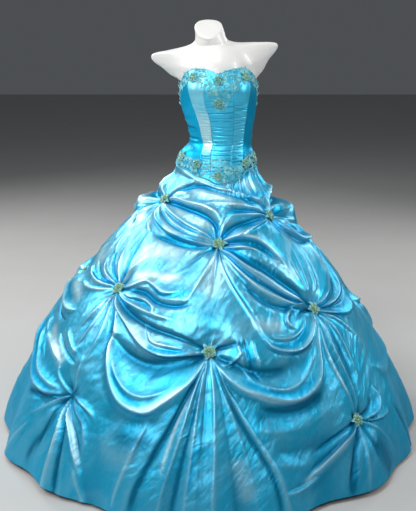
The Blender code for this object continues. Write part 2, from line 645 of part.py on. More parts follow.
def build_lace():
    lace = cloth_material("corded_lace", (0.52, 0.84, 0.86), 0.55)
    beads = cloth_material("flower_beads", (0.42, 0.50, 0.34), 0.35, 0.3)
    pieces = [lace_piece(*row, lace) for row in LACE_PIECES]
    bodice = [obj for obj in bpy.data.objects if obj.name.startswith("bodice_")]
    ground = cloth_ground([tree_of(obj) for obj in pieces + bodice], BEAD_CLEAR, FLOWER_FEEL)
    for name, angle, height in FLOWERS:
        centre = bodice_face(angle, height)
        normal = normal_of(bodice_face, angle, height)
        level = level_ground(ground, centre, normal, FLOWER_RADIUS)
        blossom(name, centre, normal, FLOWER_RADIUS, FLOWER_HEIGHT, level, beads)


# ---- dress form ------------------------------------------------------------------------------------
# Upper sections of the form: height, middle in X, chest half width, reach of the shoulder stubs, depth to
# the front and the back, how far the sides lie back, tilt up to +X, slope down to the front.
SHOULDERS = (
    (1.216, 0.036, 0.121, 0.002, 0.109, 0.094, 0.002, 0.0, 0.0),
    (1.238, 0.034, 0.119, 0.012, 0.108, 0.092, 0.016, 1.0, 0.0),
    (1.262, 0.029, 0.116, 0.044, 0.104, 0.088, 0.024, 2.5, 0.0),
    (1.290, 0.025, 0.112, 0.070, 0.097, 0.082, 0.020, 4.0, 0.0),
    (1.315, 0.023, 0.104, 0.104, 0.082, 0.072, 0.020, 5.0, 0.0),
    (1.332, 0.022, 0.094, 0.122, 0.068, 0.061, 0.018, 5.0, 0.0),
    (1.344, 0.020, 0.083, 0.120, 0.057, 0.051, 0.016, 5.0, 0.0),
    (1.350, 0.016, 0.072, 0.075, 0.052, 0.048, 0.016, 5.0, 0.0),
    (1.355, 0.013, 0.064, 0.026, 0.050, 0.047, 0.012, 4.0, 3.0),
    (1.363, 0.011, 0.057, 0.004, 0.050, 0.049, 0.006, 3.0, 9.0),
    (1.376, 0.009, 0.052, 0.000, 0.051, 0.047, 0.000, 2.0, 18.0),
    (1.394, 0.006, 0.049, 0.000, 0.052, 0.040, 0.000, 1.0, 28.0),
    (1.412, 0.002, 0.0465, 0.000, 0.054, 0.032, 0.000, 0.0, 35.0),
)
STUB_ANGLE, STUB_SPREAD = 99.0, 25.0
FORM_FOOT_HEIGHT = 0.898
FORM_SPOKES = 24
FORM_FOOT_TAPER = 0.10
FORM_HEIGHTS = (0.912, 0.935, 0.962, 0.985, 1.005, 1.022, 1.037, 1.052, 1.083, 1.123, 1.164, 1.196)
NECK_TRIM, NECK_TAPER = 0.004, 0.06
POLE_RADIUS = 0.016
BASE_RADIUS = 0.215
BASE_THICKNESS = 0.014


def form_ring(height):
    """Ring of the form inside the bodice: the bodice's face moved in."""
    ring = []
    for spoke in range(FORM_SPOKES):
        angle = 360.0 * spoke / FORM_SPOKES
        ring.append(bodice_point(angle, height, -FORM_CLEARANCE))
    return ring


def shoulder_ring(height, middle, chest, stub, front, back, lie_back, tilt, slope):
    """Ring of the chest with a shoulder stub at each side, tilted sideways and sloped to the front."""
    ring = []
    for spoke in range(FORM_SPOKES):
        angle = angle_between(360.0 * spoke / FORM_SPOKES, 0)
        turn = math.radians(angle)
        bulge = stub * math.exp(-((abs(angle) - STUB_ANGLE) / STUB_SPREAD) ** 2)
        across = chest * math.sin(turn) + math.copysign(bulge, angle)
        depth = mix(back, front, 0.5 + 0.5 * math.cos(turn))
        deep = lie_back * math.sin(turn) ** 2 - depth * math.cos(turn)
        rise = across * math.tan(math.radians(tilt)) + deep * math.tan(math.radians(slope))
        ring.append(Vector((middle + across, deep, height + rise)))
    return ring


def build_form():
    shell = cloth_material("dress_form_shell", (0.90, 0.90, 0.89), 0.25)
    steel = cloth_material("stand_steel", (0.55, 0.56, 0.58), 0.30, 0.8)
    foot_middle = Vector((0.0, 0.0, FORM_FOOT_HEIGHT))
    foot = [mix(point, foot_middle, FORM_FOOT_TAPER) for point in form_ring(FORM_FOOT_HEIGHT)]
    for point in foot:
        point.z = FORM_FOOT_HEIGHT
    rings = [foot] + [form_ring(height) for height in FORM_HEIGHTS]
    rings += [shoulder_ring(*row) for row in SHOULDERS]
    neck = shoulder_ring(*SHOULDERS[-1])
    cap = sum(neck, Vector()) / len(neck)
    rings.append([mix(point, cap, NECK_TAPER) + Vector((0.0, 0.0, NECK_TRIM)) for point in neck])
    verts = [point for ring in rings for point in ring]
    faces = [list(reversed(range(FORM_SPOKES)))]
    for level in range(len(rings) - 1):
        for spoke in range(FORM_SPOKES):
            following = (spoke + 1) % FORM_SPOKES
            low, high = level * FORM_SPOKES, (level + 1) * FORM_SPOKES
            faces.append([low + spoke, low + following, high + following, high + spoke])
    faces.append([(len(rings) - 1) * FORM_SPOKES + spoke for spoke in range(FORM_SPOKES)])
    make_object("form_torso", verts, faces, shell)
    pole_low = BASE_THICKNESS + SEAM_GAP
    pole_high = FORM_FOOT_HEIGHT - SEAM_GAP
    add_disc("stand_pole", POLE_RADIUS, pole_low, pole_high, 16, 0.0, steel)
    add_disc("stand_base", BASE_RADIUS, 0.0, BASE_THICKNESS, 48, 0.004, steel)


def add_disc(name, radius, low, high, sides, edge, material):
    """Upright cylinder with its upper rim eased."""
    bpy.ops.mesh.primitive_cylinder_add(vertices=sides, radius=radius, depth=high - low,
                                        location=(0.0, 0.0, 0.5 * (low + high)))
    disc = bpy.context.object
    disc.name = name
    disc.data.name = name
    disc.data.materials.append(material)
    if edge:
        shape = bmesh.new()
        shape.from_mesh(disc.data)
        rim = [e for e in shape.edges if all(v.co.z > 0 for v in e.verts)]
        bmesh.ops.bevel(shape, geom=rim, offset=edge, segments=2, profile=0.5, affect="EDGES")
        shape.to_mesh(disc.data)
        shape.free()
    disc.data.shade_smooth()
    disc.data.set_sharp_from_angle(angle=math.radians(40))


def main():
    for obj in list(bpy.data.objects):
        bpy.data.objects.remove(obj, do_unlink=True)
    build_bodice()
    gores = build_skirt()
    build_rosettes(gores)
    build_lace()
    build_form()


main()
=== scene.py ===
import math
import random

import bpy
import numpy as np
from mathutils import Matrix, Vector


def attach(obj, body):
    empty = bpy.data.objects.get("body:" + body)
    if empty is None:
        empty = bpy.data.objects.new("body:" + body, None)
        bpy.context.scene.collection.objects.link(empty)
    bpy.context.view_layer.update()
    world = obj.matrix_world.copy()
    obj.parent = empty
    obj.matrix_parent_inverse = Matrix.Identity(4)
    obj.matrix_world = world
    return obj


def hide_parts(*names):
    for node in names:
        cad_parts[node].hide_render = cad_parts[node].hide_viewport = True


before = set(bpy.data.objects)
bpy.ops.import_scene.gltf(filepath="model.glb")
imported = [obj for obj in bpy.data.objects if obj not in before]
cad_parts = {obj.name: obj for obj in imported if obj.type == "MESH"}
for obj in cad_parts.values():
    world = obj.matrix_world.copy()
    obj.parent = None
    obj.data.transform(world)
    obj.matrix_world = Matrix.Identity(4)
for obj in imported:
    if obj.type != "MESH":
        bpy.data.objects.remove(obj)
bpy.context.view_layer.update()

# Looks of a strapless ball gown on a dress form: ruched and boned bodice, corded lace, beaded flowers, and a
# full satin skirt caught up at rosettes. Metres, +Z up, the front faces -Y. Angles go round the body in
# degrees: 0 is the front, +90 the side towards +X, 180 the back.

MM = 0.001
bpy.ops.object.select_all(action="DESELECT")


# ---- small helpers ----
def smooth(value):
    value = np.clip(value, 0.0, 1.0)
    return value * value * (3.0 - 2.0 * value)


def mix(first, second, share):
    return first + (second - first) * share


def curve(table, keys, column=1):
    """Column of a table at many keys, on a smooth curve through its rows (monotone cubic steps)."""
    x = np.array([row[0] for row in table], float)
    y = np.array([row[column] for row in table], float)
    span = np.diff(x)
    slope = np.diff(y) / span
    product = slope[1:] * slope[:-1]
    total = slope[1:] + slope[:-1]
    inner = np.where(product > 0, 2.0 * product / np.where(total == 0, 1.0, total), 0.0)
    tangent = np.concatenate([[slope[0]], inner, [slope[-1]]])
    keys = np.asarray(keys, float)
    index = np.clip(np.searchsorted(x, keys, "right") - 1, 0, len(span) - 1)
    t = np.clip((keys - x[index]) / span[index], 0.0, 1.0)
    square, cube = t * t, t * t * t
    return (y[index] * (2 * cube - 3 * square + 1) + tangent[index] * span[index] * (cube - 2 * square + t)
            + y[index + 1] * (3 * square - 2 * cube) + tangent[index + 1] * span[index] * (cube - square))


def turn_between(first, second):
    return (first - second + 180.0) % 360.0 - 180.0


def unit(vectors):
    return vectors / np.linalg.norm(vectors, axis=-1, keepdims=True)


def bell(value):
    """1 at zero, falling away softly on both sides."""
    return np.exp(-value * value)


def smooth_line(points):
    """Points along a smooth curve through the given ones, in five steps from each to the next."""
    padded = np.concatenate([[2 * points[0] - points[1]], points, [2 * points[-1] - points[-2]]])
    line = []
    for index in range(1, len(padded) - 2):
        p0, p1, p2, p3 = padded[index - 1:index + 3]
        for step in range(5):
            t = step / 5.0
            line.append(0.5 * (2 * p1 + (p2 - p0) * t + (2 * p0 - 5 * p1 + 4 * p2 - p3) * t * t
                               + (3 * p1 - p0 - 3 * p2 + p3) * t ** 3))
    line.append(points[-1])
    return line


def linear(text):
    """sRGB hex to the linear values that a shader takes."""
    parts = [int(text[k:k + 2], 16) / 255.0 for k in (1, 3, 5)]
    return tuple(p / 12.92 if p <= 0.04045 else ((p + 0.055) / 1.055) ** 2.4 for p in parts) + (1.0,)


# ---- sizes of the gown ----
# Bodice sections: height, middle in X, half width, depth to the front, depth to the back.
BODICE_SECTIONS = (
    (0.880, 0.020, 0.150, 0.146, 0.118), (0.907, 0.022, 0.146, 0.138, 0.116),
    (0.940, 0.027, 0.141, 0.127, 0.113), (0.962, 0.029, 0.138, 0.119, 0.110),
    (0.998, 0.032, 0.126, 0.104, 0.100), (1.015, 0.037, 0.114, 0.096, 0.091),
    (1.037, 0.044, 0.106, 0.090, 0.083), (1.083, 0.043, 0.112, 0.094, 0.084),
    (1.123, 0.040, 0.122, 0.102, 0.089), (1.164, 0.036, 0.129, 0.110, 0.095),
    (1.212, 0.036, 0.130, 0.116, 0.099), (1.240, 0.036, 0.128, 0.114, 0.098),
    (1.290, 0.035, 0.122, 0.104, 0.094),
)
# The cups: angle to each side, height, how far they stand out, and how far they spread.
CUP_ANGLE, CUP_HEIGHT, CUP_RISE = 29.0, 1.205, 0.012
CUP_SPREAD_ANGLE, CUP_SPREAD_HEIGHT = 22.0, 0.048
# Upper and lower edge of the bodice: angle and height.
NECKLINE = ((-180, 1.160), (-130, 1.172), (-100, 1.200), (-90, 1.214), (-78, 1.238), (-67, 1.258),
            (-54, 1.273), (-38, 1.281), (-22, 1.280), (-9, 1.272), (0, 1.266), (9, 1.274), (23, 1.281),
            (38, 1.284), (54, 1.275), (66, 1.261), (77, 1.241), (90, 1.214), (100, 1.200), (130, 1.172),
            (180, 1.160))
BASQUE = ((-180, 0.948), (-150, 0.958), (-90, 0.955), (-74, 0.952), (-47, 0.946), (-29, 0.932),
          (-10, 0.920), (4, 0.906), (19, 0.911), (30, 0.915), (39, 0.928), (49, 0.944), (75, 0.952),
          (90, 0.955), (150, 0.958), (180, 0.948))
# Seams: height and angle. The side-back seams run straight up.
SEAM_INNER_LEFT = ((0.90, -7), (0.98, -9), (1.06, -17), (1.11, -17), (1.19, -21), (1.29, -21))
SEAM_INNER_RIGHT = ((0.90, 20), (0.98, 21), (1.06, 22), (1.11, 22), (1.19, 21), (1.29, 20))
SEAM_OUTER_LEFT = ((0.90, -20), (0.98, -23), (1.015, -29), (1.06, -38), (1.14, -40), (1.23, -51), (1.29, -55))
SEAM_OUTER_RIGHT = ((0.90, 37), (0.98, 41), (1.015, 46), (1.08, 46), (1.14, 47), (1.24, 53), (1.29, 55))
SIDE_BACK = 103.0
SEAM_LOW, SEAM_HIGH = 0.93, 1.27   # where a seam meets the lower and the upper edge, about

# Skirt sections: height, radius, middle in X, depth as a share of the radius.
SKIRT_SECTIONS = (
    (0.000, 0.758, 0.003, 1.00), (0.080, 0.735, 0.003, 1.00), (0.280, 0.640, 0.004, 1.00),
    (0.480, 0.522, 0.004, 1.00), (0.630, 0.405, 0.005, 1.00), (0.730, 0.318, 0.005, 0.99),
    (0.810, 0.240, 0.006, 0.96), (0.860, 0.200, 0.010, 0.93), (0.900, 0.172, 0.018, 0.90),
    (0.930, 0.150, 0.026, 0.88), (0.990, 0.124, 0.032, 0.86),
)
HEM_HEIGHT = 0.011    # lowest place of the cloth
FLARE_REACH = 0.075   # under the bodice's edge the skirt takes its own section within this height
EDGE_EASE = 0.020     # and its folds rise to their full height within this one
WINDOW_ANGLE = -50.0  # the side that most of the light comes from
MIDDLE_RADIUS = 0.5   # of the skirt, for the number of rumples that go round

# Pick-ups: name, angle, height, and whether a rosette is sewn on.
PICKUPS = (
    ("front_left_1", -56.5, 0.859, True), ("front_right_1", 60.5, 0.805, True),
    ("back_right_1", 128, 0.832, True), ("back_left_1", -129, 0.840, True),
    ("front_2", 6, 0.756, True), ("side_right_2", 93, 0.690, True),
    ("side_left_2", -93, 0.770, True), ("back_2", 180, 0.750, True),
    ("front_left_3", -46.5, 0.604, True), ("front_right_3", 47.5, 0.543, True),
    ("back_right_3", 135, 0.550, True), ("back_left_3", -135, 0.585, True),
    ("front_4", 0, 0.471, True), ("side_right_4", 88, 0.490, True),
    ("side_left_4", -91, 0.570, True), ("back_4", 180, 0.470, True),
    ("front_left_5", -45.5, 0.287, False), ("front_right_5", 45.5, 0.213, True),
    ("back_right_5", 136, 0.240, True), ("back_left_5", -137, 0.270, True),
)
# The back hangs as the front does, turned round; each front pick-up has its partner there.
PARTNERS = {"front_left_1": "back_right_1", "front_right_1": "back_left_1", "front_2": "back_2",
            "front_left_3": "back_right_3", "front_right_3": "back_left_3", "front_4": "back_4",
            "front_left_5": "back_right_5", "front_right_5": "back_left_5",
            "side_left_2": "side_right_2", "side_right_2": "side_left_2",
            "side_left_4": "side_right_4", "side_right_4": "side_left_4"}
BACK_TURN = 180.0
SIDE_BLEND_START, SIDE_BLEND_WIDTH = 82.0, 18.0
# How deep and how wide a pick-up draws the cloth in, less deep where the skirt is narrower than the radius.
PICKUP_DEPTH, PICKUP_REACH, PICKUP_FULL_RADIUS = 0.030, 0.056, 0.28
# Puffs and hollows at the sides: angle, height, how far out, and spread in degrees and in height.
PUFFS = (
    (-92, 0.858, -0.020, 26, 0.016), (-92, 0.812, 0.030, 26, 0.030), (-92, 0.548, 0.024, 20, 0.034),
    (-92, 0.360, 0.012, 20, 0.030), (92, 0.862, 0.018, 26, 0.014), (92, 0.832, -0.010, 22, 0.012),
    (92, 0.784, 0.036, 26, 0.030), (92, 0.690, 0.012, 20, 0.060),
)

# Folds of the skirt, from left to right or down: how far out in mm, spread in mm on the upper or inner side
# and on the lower or outer side, how far the crest leans over, how the ends run out, and angle and height
# along it. "held" is drawn in at a pick-up at both ends, "fan" starts at a pick-up and opens out, "hem" does
# so down to the hem, and "free" fades at both ends.
LEFT_SWAG = ((-46.5, .599), (-37.6, .541), (-34.5, .495), (-34, .445), (-32, .395), (-29, .350),
             (-25.5, .318), (-21, .303), (-17, .303), (-13.5, .328), (-9, .362), (-4, .406), (0, .467))
LEFT_INNER = ((-32, .440), (-30, .400), (-27, .367), (-23.5, .345), (-19, .338), (-15, .350), (-11, .375))
EDGE_SWAG = ((-91, .560), (-88, .470), (-84, .390), (-78, .330), (-70, .290), (-62, .268), (-54.2, .262),
             (-49.4, .270), (-45.5, .286))
EDGE_INNER = ((-82, .430), (-77, .370), (-70, .322), (-62, .298), (-54.2, .290), (-49.5, .290))
RIGHT_SWAG = ((0, .467), (3, .428), (6, .396), (10, .368), (15, .350), (19, .335), (23, .325), (27.5, .327),
              (31.5, .342), (34.5, .366), (36.5, .400), (38.6, .450), (43, .511), (47.5, .541))
RIGHT_INNER = ((13, .385), (17, .366), (22, .354), (27, .362), (31, .387), (34.5, .420), (36.6, .450))
HIP_EDGE = ((-88, .952), (-68.1, .949), (-41.4, .933), (-24.4, .918), (-8.2, .903), (9, .891), (23.1, .878),
            (34.4, .867), (47.5, .855), (59.1, .841), (64.7, .819))
FOLDS = (
    # the hip: gathered cloth bags over one long edge
    (6, 22, 9, 0.2, "free", HIP_EDGE),
    (4, 4, 4, 0, "free", HIP_EDGE),
    (-3, 6, 9, 0, "free", ((-20.5, .906), (-4.1, .893), (12, .877), (30.4, .860), (50.4, .844),
        (60.5, .826))),
    (9, 20, 20, 0, "free", ((-31.8, .887), (-12.3, .876), (8, .864), (24.3, .852), (39.5, .841))),
    (10, 12, 6, 0.5, "fan", ((-55.4, .865), (-48.8, .885), (-39.9, .899), (-28.7, .911), (-18.3, .916))),
    (-8, 8, 8, 0, "fan", ((-54.4, .865), (-41, .884), (-24.9, .895), (-5.1, .898), (8, .888))),
    (7, 6, 6, 0.3, "free", ((-51.1, .867), (-41.3, .880), (-30.9, .878), (-26.5, .867), (-35.9, .861),
        (-49, .859))),
    (-14, 11, 11, 0, "held", ((-55.5, .857), (-41.8, .851), (-22.8, .839), (-8, .826), (1.2, .810),
        (5.5, .791), (6, .764))),
    (8, 8, 8, 0.2, "fan", ((-55.5, .859), (-39.5, .861), (-20.8, .853), (-6.1, .844), (5.1, .827),
        (9.3, .802), (8.8, .775))),
    (9, 6, 5, 0.3, "held", ((-56.5, .855), (-43.5, .836), (-28.7, .813), (-13.9, .788), (-2.3, .773),
        (6, .760))),
    (9, 6, 5, 0.3, "held", ((-56.4, .853), (-40.2, .820), (-26.2, .791), (-13.8, .772), (-3.3, .765),
        (6, .758))),
    (6, 5, 5, 0.2, "held", ((-56.4, .851), (-44.2, .813), (-30.2, .783), (-17.9, .766), (-5.4, .759),
        (6, .756))),
    (13, 15, 7, 0.7, "held", ((-56.5, .855), (-48.4, .811), (-37.5, .787), (-26, .768), (-13.8, .754),
        (-3.3, .749), (6, .754))),
    (-8, 10, 10, 0, "free", ((-40.1, .758), (-26, .745), (-11.8, .735), (0.8, .738))),
    # left of the first rosette
    (8, 8, 7, 0.3, "fan", ((-57.5, .863), (-64.4, .872), (-73.9, .882), (-84.5, .896))),
    (9, 9, 7, 0.4, "fan", ((-58.4, .857), (-66.2, .851), (-75.5, .840), (-88.1, .826))),
    (-8, 8, 8, 0, "fan", ((-58.4, .853), (-67, .834), (-76.5, .813), (-88, .792))),
    (9, 9, 9, 0.2, "fan", ((-58.3, .851), (-63.2, .815), (-68.2, .778), (-76, .742))),
    (-7, 7, 7, 0, "fan", ((-57.3, .849), (-57.4, .811), (-58.4, .772), (-62, .740))),
    (8, 8, 8, 0.2, "fan", ((-57.2, .847), (-51.9, .802), (-46.3, .770), (-38, .752))),
    (8, 7, 7, 0, "free", ((-72.5, .801), (-73.1, .770), (-74, .735), (-74, .700))),
    (-7, 6, 6, 0, "free", ((-67.5, .791), (-68.1, .760), (-69, .720), (-68, .680))),
    (8, 7, 7, 0, "free", ((-63.6, .786), (-63, .750), (-63, .712), (-60.1, .668))),
    # between the first rosettes and down to the middle one
    (8, 7, 6, 0.3, "held", ((-6.1, .850), (5, .849), (22.3, .843), (39.9, .834), (52.3, .822), (60.5, .807))),
    (-6, 5, 5, 0, "fan", ((60.5, .806), (45.2, .820), (25.5, .829), (8.1, .833))),
    (8, 6, 6, 0.2, "fan", ((60.5, .805), (44.1, .811), (24.4, .816), (10.1, .817))),
    (-12, 9, 9, 0, "held", ((6, .762), (12.6, .779), (20.3, .791), (33.1, .797), (47.8, .803),
        (60.5, .804))),
    (9, 8, 6, 0.3, "held", ((6, .760), (14.7, .765), (26.3, .773), (39.9, .787), (51.5, .799), (60.5, .804))),
    (7, 6, 6, 0, "fan", ((6, .760), (9.6, .787), (14.2, .805), (20.3, .816))),
    (6, 5, 5, 0, "fan", ((6, .760), (6.6, .786), (9.3, .803), (13.1, .823))),
    (12, 14, 7, 0.6, "fan", ((60.5, .805), (64.3, .826), (68.1, .844), (76.7, .857), (88.2, .862))),
    # right of the middle rosette
    (15, 20, 9, 0.7, "free", ((8, .762), (16.6, .765), (24.3, .760), (31.2, .746), (36.1, .722), (39, .694),
        (42, .655))),
    (-10, 8, 8, 0, "fan", ((6, .756), (14.7, .752), (24.2, .738), (32, .715), (36, .690))),
    (9, 8, 6, 0.4, "fan", ((6, .754), (14.6, .739), (22.2, .730), (28.1, .719), (33, .702))),
    (-16, 17, 17, 0, "held", ((6, .754), (12.7, .735), (20.1, .702), (29, .668), (37.1, .618),
        (43.2, .578), (47.5, .545))),
    (14, 10, 8, 0.5, "held", ((6, .753), (12.5, .718), (19.1, .683), (27, .645), (34.2, .599), (41.4, .567),
        (47.5, .543))),
    (-9, 8, 8, 0, "held", ((6, .752), (12.3, .702), (19, .660), (27, .620), (35.5, .578), (47.5, .543))),
    (12, 10, 9, 0.4, "held", ((6, .752), (10.4, .705), (16, .662), (23, .618), (30.1, .586), (39.3, .557),
        (47.5, .543))),
    (-10, 12, 12, 0, "free", ((14, .645), (22, .590), (30.2, .561), (38.2, .549))),
    (6, 4, 4, 0, "fan", ((6, .750), (5.8, .694), (9.5, .635), (14, .575), (18, .510), (20, .470),
        (22, .420))),
    (-5, 4, 4, 0, "fan", ((6, .750), (6.8, .694), (11, .633), (15.6, .575), (19.5, .510), (21.5, .470))),
    (7, 7, 7, 0, "fan", ((6, .750), (1.4, .705), (-4, .650), (-9, .600), (-14, .560))),
    (-6, 7, 7, 0, "fan", ((6, .750), (4.4, .700), (2, .640), (1, .590))),
    (-6, 8, 8, 0, "fan", ((6, .752), (-3.5, .721), (-13, .680), (-22, .650))),
    # right of the second rosette
    (19, 26, 10, 0.8, "free", ((61.5, .802), (62.5, .760), (66.3, .724), (75, .708), (92, .700))),
    (8, 7, 6, 0.4, "fan", ((61.5, .803), (66.6, .781), (73, .763), (84.1, .752))),
    (9, 7, 6, 0.4, "fan", ((61.4, .801), (63.9, .767), (69.7, .745), (80.1, .734))),
    (8, 6, 6, 0.4, "fan", ((60.4, .799), (60, .765), (62.9, .739), (68.2, .722))),
    (-9, 9, 9, 0, "fan", ((61.5, .807), (69.8, .803), (79, .791), (90.1, .776))),
    (8, 9, 9, 0.2, "fan", ((61.4, .809), (68, .820), (77.6, .816), (90.2, .804))),
    (5, 5, 5, 0, "free", ((57.1, .702), (57, .660), (55.1, .610), (52, .574))),
    (-5, 5, 5, 0, "free", ((61.1, .705), (61, .660), (58.1, .610), (52.9, .575))),
    (5, 5, 5, 0, "free", ((53.2, .712), (51, .670), (49.1, .620), (48.2, .579))),
    (4, 4, 4, 0, "free", ((48.1, .705), (46, .660), (46.2, .611), (47.5, .575))),
    # round the rosette on the right
    (12, 9, 8, 0.5, "fan", ((47.5, .545), (54.9, .556), (64, .588), (70, .635), (72, .680), (73.1, .715))),
    (-9, 8, 8, 0, "fan", ((47.5, .544), (57.5, .547), (68, .575), (75, .625), (78, .670))),
    (12, 9, 8, 0.5, "fan", ((47.5, .544), (58.4, .536), (69, .552), (77, .595), (80, .645))),
    (-8, 8, 8, 0, "fan", ((47.5, .543), (60.2, .527), (72, .534), (82, .565))),
    (14, 13, 7, 0.7, "fan", ((47.5, .541), (54.7, .511), (63, .492), (72, .496), (80, .520))),
    (9, 9, 6, 0.5, "free", ((46.5, .547), (40.5, .558), (34.6, .555), (30.8, .538), (30.2, .516),
        (33.3, .501))),
    (-8, 7, 7, 0, "fan", ((47.5, .543), (41.9, .543), (35.8, .533), (32.3, .519))),
    (7, 6, 6, 0, "held", ((47.5, .539), (43, .483), (41.5, .430), (42.5, .340), (45.5, .219))),
    (-6, 5, 5, 0, "held", ((47.5, .539), (44.6, .483), (43.2, .430), (44.2, .340), (46, .219))),
    (7, 6, 6, 0, "held", ((47.5, .539), (46.2, .483), (45.2, .430), (46, .340), (46.4, .219))),
    (-6, 6, 6, 0, "held", ((48, .539), (48, .483), (47.6, .430), (48.2, .340), (47.3, .219))),
    (7, 8, 8, 0, "fan", ((48.4, .537), (50.3, .471), (51, .400), (51, .330), (49.2, .280))),
    (8, 12, 12, 0, "fan", ((48.4, .537), (56.1, .470), (62, .400), (66, .330))),
    # left of the rosette on the left, and above it
    (-13, 14, 12, 0, "fan", ((-46.5, .607), (-46.6, .643), (-47.1, .690), (-47, .740), (-43.4, .776))),
    (9, 9, 9, 0, "fan", ((-46.5, .607), (-42.6, .643), (-37.1, .690), (-31, .738))),
    (9, 9, 8, 0, "fan", ((-46.5, .607), (-50.3, .643), (-53.1, .690), (-56, .738))),
    (-6, 6, 6, 0, "fan", ((-46.5, .607), (-53.2, .632), (-59.1, .668), (-64, .700))),
    (10, 8, 7, 0.3, "fan", ((-47.5, .607), (-55.9, .619), (-62.1, .640), (-68, .678))),
    (-9, 7, 7, 0, "fan", ((-47.5, .605), (-57.6, .607), (-67, .625), (-76, .655))),
    (10, 9, 7, 0.4, "fan", ((-47.5, .604), (-58.5, .593), (-70, .603), (-80, .625))),
    (9, 9, 6, 0.5, "fan", ((-47.5, .603), (-54.9, .577), (-64, .566), (-76, .575))),
    (14, 15, 9, 0.6, "free", ((-91, .550), (-84, .520), (-76, .496), (-68, .492), (-60, .502))),
    (-8, 9, 9, 0, "free", ((-86, .480), (-78, .462), (-70, .455), (-63, .462))),
    (6, 5, 5, 0, "fan", ((-47, .599), (-48, .547), (-52, .480), (-57, .420))),
    (-5, 5, 5, 0, "fan", ((-47, .599), (-46.6, .547), (-49.5, .480), (-54, .410))),
    (6, 5, 5, 0, "fan", ((-46.7, .599), (-45.4, .547), (-47, .480), (-50, .410), (-52.1, .350))),
    (-5, 5, 5, 0, "fan", ((-46.5, .599), (-44, .547), (-44, .480), (-46, .410))),
    (6, 5, 5, 0, "fan", ((-46.5, .599), (-42.3, .547), (-41.2, .480), (-42.5, .410), (-44.5, .350))),
    (-6, 5, 5, 0, "fan", ((-46.3, .599), (-40.7, .547), (-38, .490), (-37.6, .430))),
    # right of the rosette on the left
    (10, 12, 7, 0.6, "fan", ((-46.5, .609), (-38.2, .614), (-30.6, .635), (-26.2, .630), (-20, .612),
        (-13, .618), (-5, .632))),
    (9, 7, 6, 0.5, "free", ((-44.4, .601), (-35.6, .588), (-28.4, .588), (-24.1, .578), (-22, .562),
        (-23, .550))),
    (-12, 11, 11, 0, "free", ((-38.3, .605), (-29.6, .607), (-22.1, .586), (-14, .580), (-6, .592))),
    (9, 8, 7, 0.4, "fan", ((-46.5, .603), (-37.8, .578), (-29.3, .563), (-22, .553), (-15, .545),
        (-8, .538))),
    (-11, 11, 11, 0, "held", ((-46.5, .601), (-37.2, .562), (-30.2, .540), (-22, .520), (-12, .503),
        (0, .475))),
    (13, 9, 8, 0.7, "held", ((-46.5, .600), (-38.2, .557), (-31.1, .522), (-26, .492), (-21, .467),
        (-15, .454), (-8, .459), (0, .470))),
    (7, 5, 5, 0.3, "free", ((-25, .535), (-22, .508), (-19.5, .483), (-13, .475), (-6, .470))),
    # the large swag from the left rosette to the low one
    (14, 44, 17, 0.4, "held", LEFT_SWAG),
    (6, 12, 9, 0.2, "held", LEFT_SWAG),
    (8, 10, 9, 0, "free", LEFT_INNER),
    (-14, 26, 30, 0, "held", ((-35, .480), (-27, .440), (-18, .424), (-8, .440), (0, .468))),
    # the swag at the left edge
    (13, 40, 16, 0.4, "held", EDGE_SWAG),
    (6, 12, 8, 0.2, "held", EDGE_SWAG),
    (8, 10, 9, 0, "free", EDGE_INNER),
    (8, 13, 12, 0, "free", ((-84, .425), (-74, .388), (-64, .378), (-54, .350))),
    (-8, 6, 6, 0, "free", ((-82, .440), (-76, .398), (-70, .358), (-64, .335))),
    (-9, 6, 6, 0, "free", ((-64, .430), (-58, .402), (-52, .385), (-46, .372))),
    (7, 6, 6, 0, "free", ((-60, .450), (-52.5, .415), (-47.5, .400))),
    (8, 6, 6, 0, "fan", ((-45.5, .288), (-49.4, .304), (-53.2, .332), (-55, .365))),
    (7, 6, 6, 0, "fan", ((-45.5, .288), (-44.4, .325), (-44.2, .370), (-45, .420))),
    # below the low pick-up on the left
    (9, 8, 6, 0.4, "fan", ((-45.5, .288), (-42.1, .287), (-36.9, .276), (-33.8, .258), (-32.6, .236))),
    (13, 7, 6, 0, "fan", ((-45.6, .282), (-39.6, .205), (-36.4, .150), (-33.8, .100), (-32, .060))),
    (8, 6, 5, 0, "fan", ((-44.5, .284), (-36.6, .235), (-34.4, .190), (-33, .130))),
    (-7, 5, 5, 0, "fan", ((-44.6, .272), (-38, .208), (-35.2, .160), (-34, .120))),
    (13, 11, 4, 0, "hem", ((-45.9, .282), (-43.6, .200), (-43.1, .110), (-43.6, .000))),
    (-10, 6, 5, 0, "hem", ((-45.4, .278), (-41.4, .190), (-40.2, .100), (-39.6, .000))),
    (10, 7, 6, 0, "fan", ((-46.4, .284), (-50, .250), (-55, .208), (-61, .155))),
    (-10, 10, 10, 0, "fan", ((-46.4, .285), (-52.4, .262), (-60, .240), (-69, .222))),
    (-9, 8, 8, 0, "fan", ((-46.4, .280), (-48.8, .213), (-49.5, .146), (-51, .060))),
    (6, 8, 8, 0, "free", ((-56, .180), (-60, .110), (-63, .050), (-65, -.010))),
    (9, 14, 14, 0, "free", ((-36, .120), (-34, .070), (-32, .020), (-31, -.020))),
    # below the low rosette in the middle
    (7.5, 4, 9, 0, "hem", ((0, .465), (-2, .391), (-3.4, .300), (-4.4, .200), (-5.2, .110), (-6, .000))),
    (-5, 8, 5, 0, "hem", ((0, .465), (-1, .380), (-1.5, .290), (-2.0, .190), (-2.5, .090), (-3, -.010))),
    (8, 4, 10, 0, "hem", ((0, .465), (-4, .370), (-6.6, .280), (-8.8, .190), (-10.9, .100), (-12.4, .000))),
    (-4, 7, 5, 0, "hem", ((0, .465), (-3, .380), (-5, .280), (-6.9, .190), (-8.2, .100), (-9.3, -.010))),
    (-9, 9, 8, 0, "hem", ((0, .465), (-7, .340), (-11, .250), (-14, .180), (-16.6, .100), (-18.5, .000))),
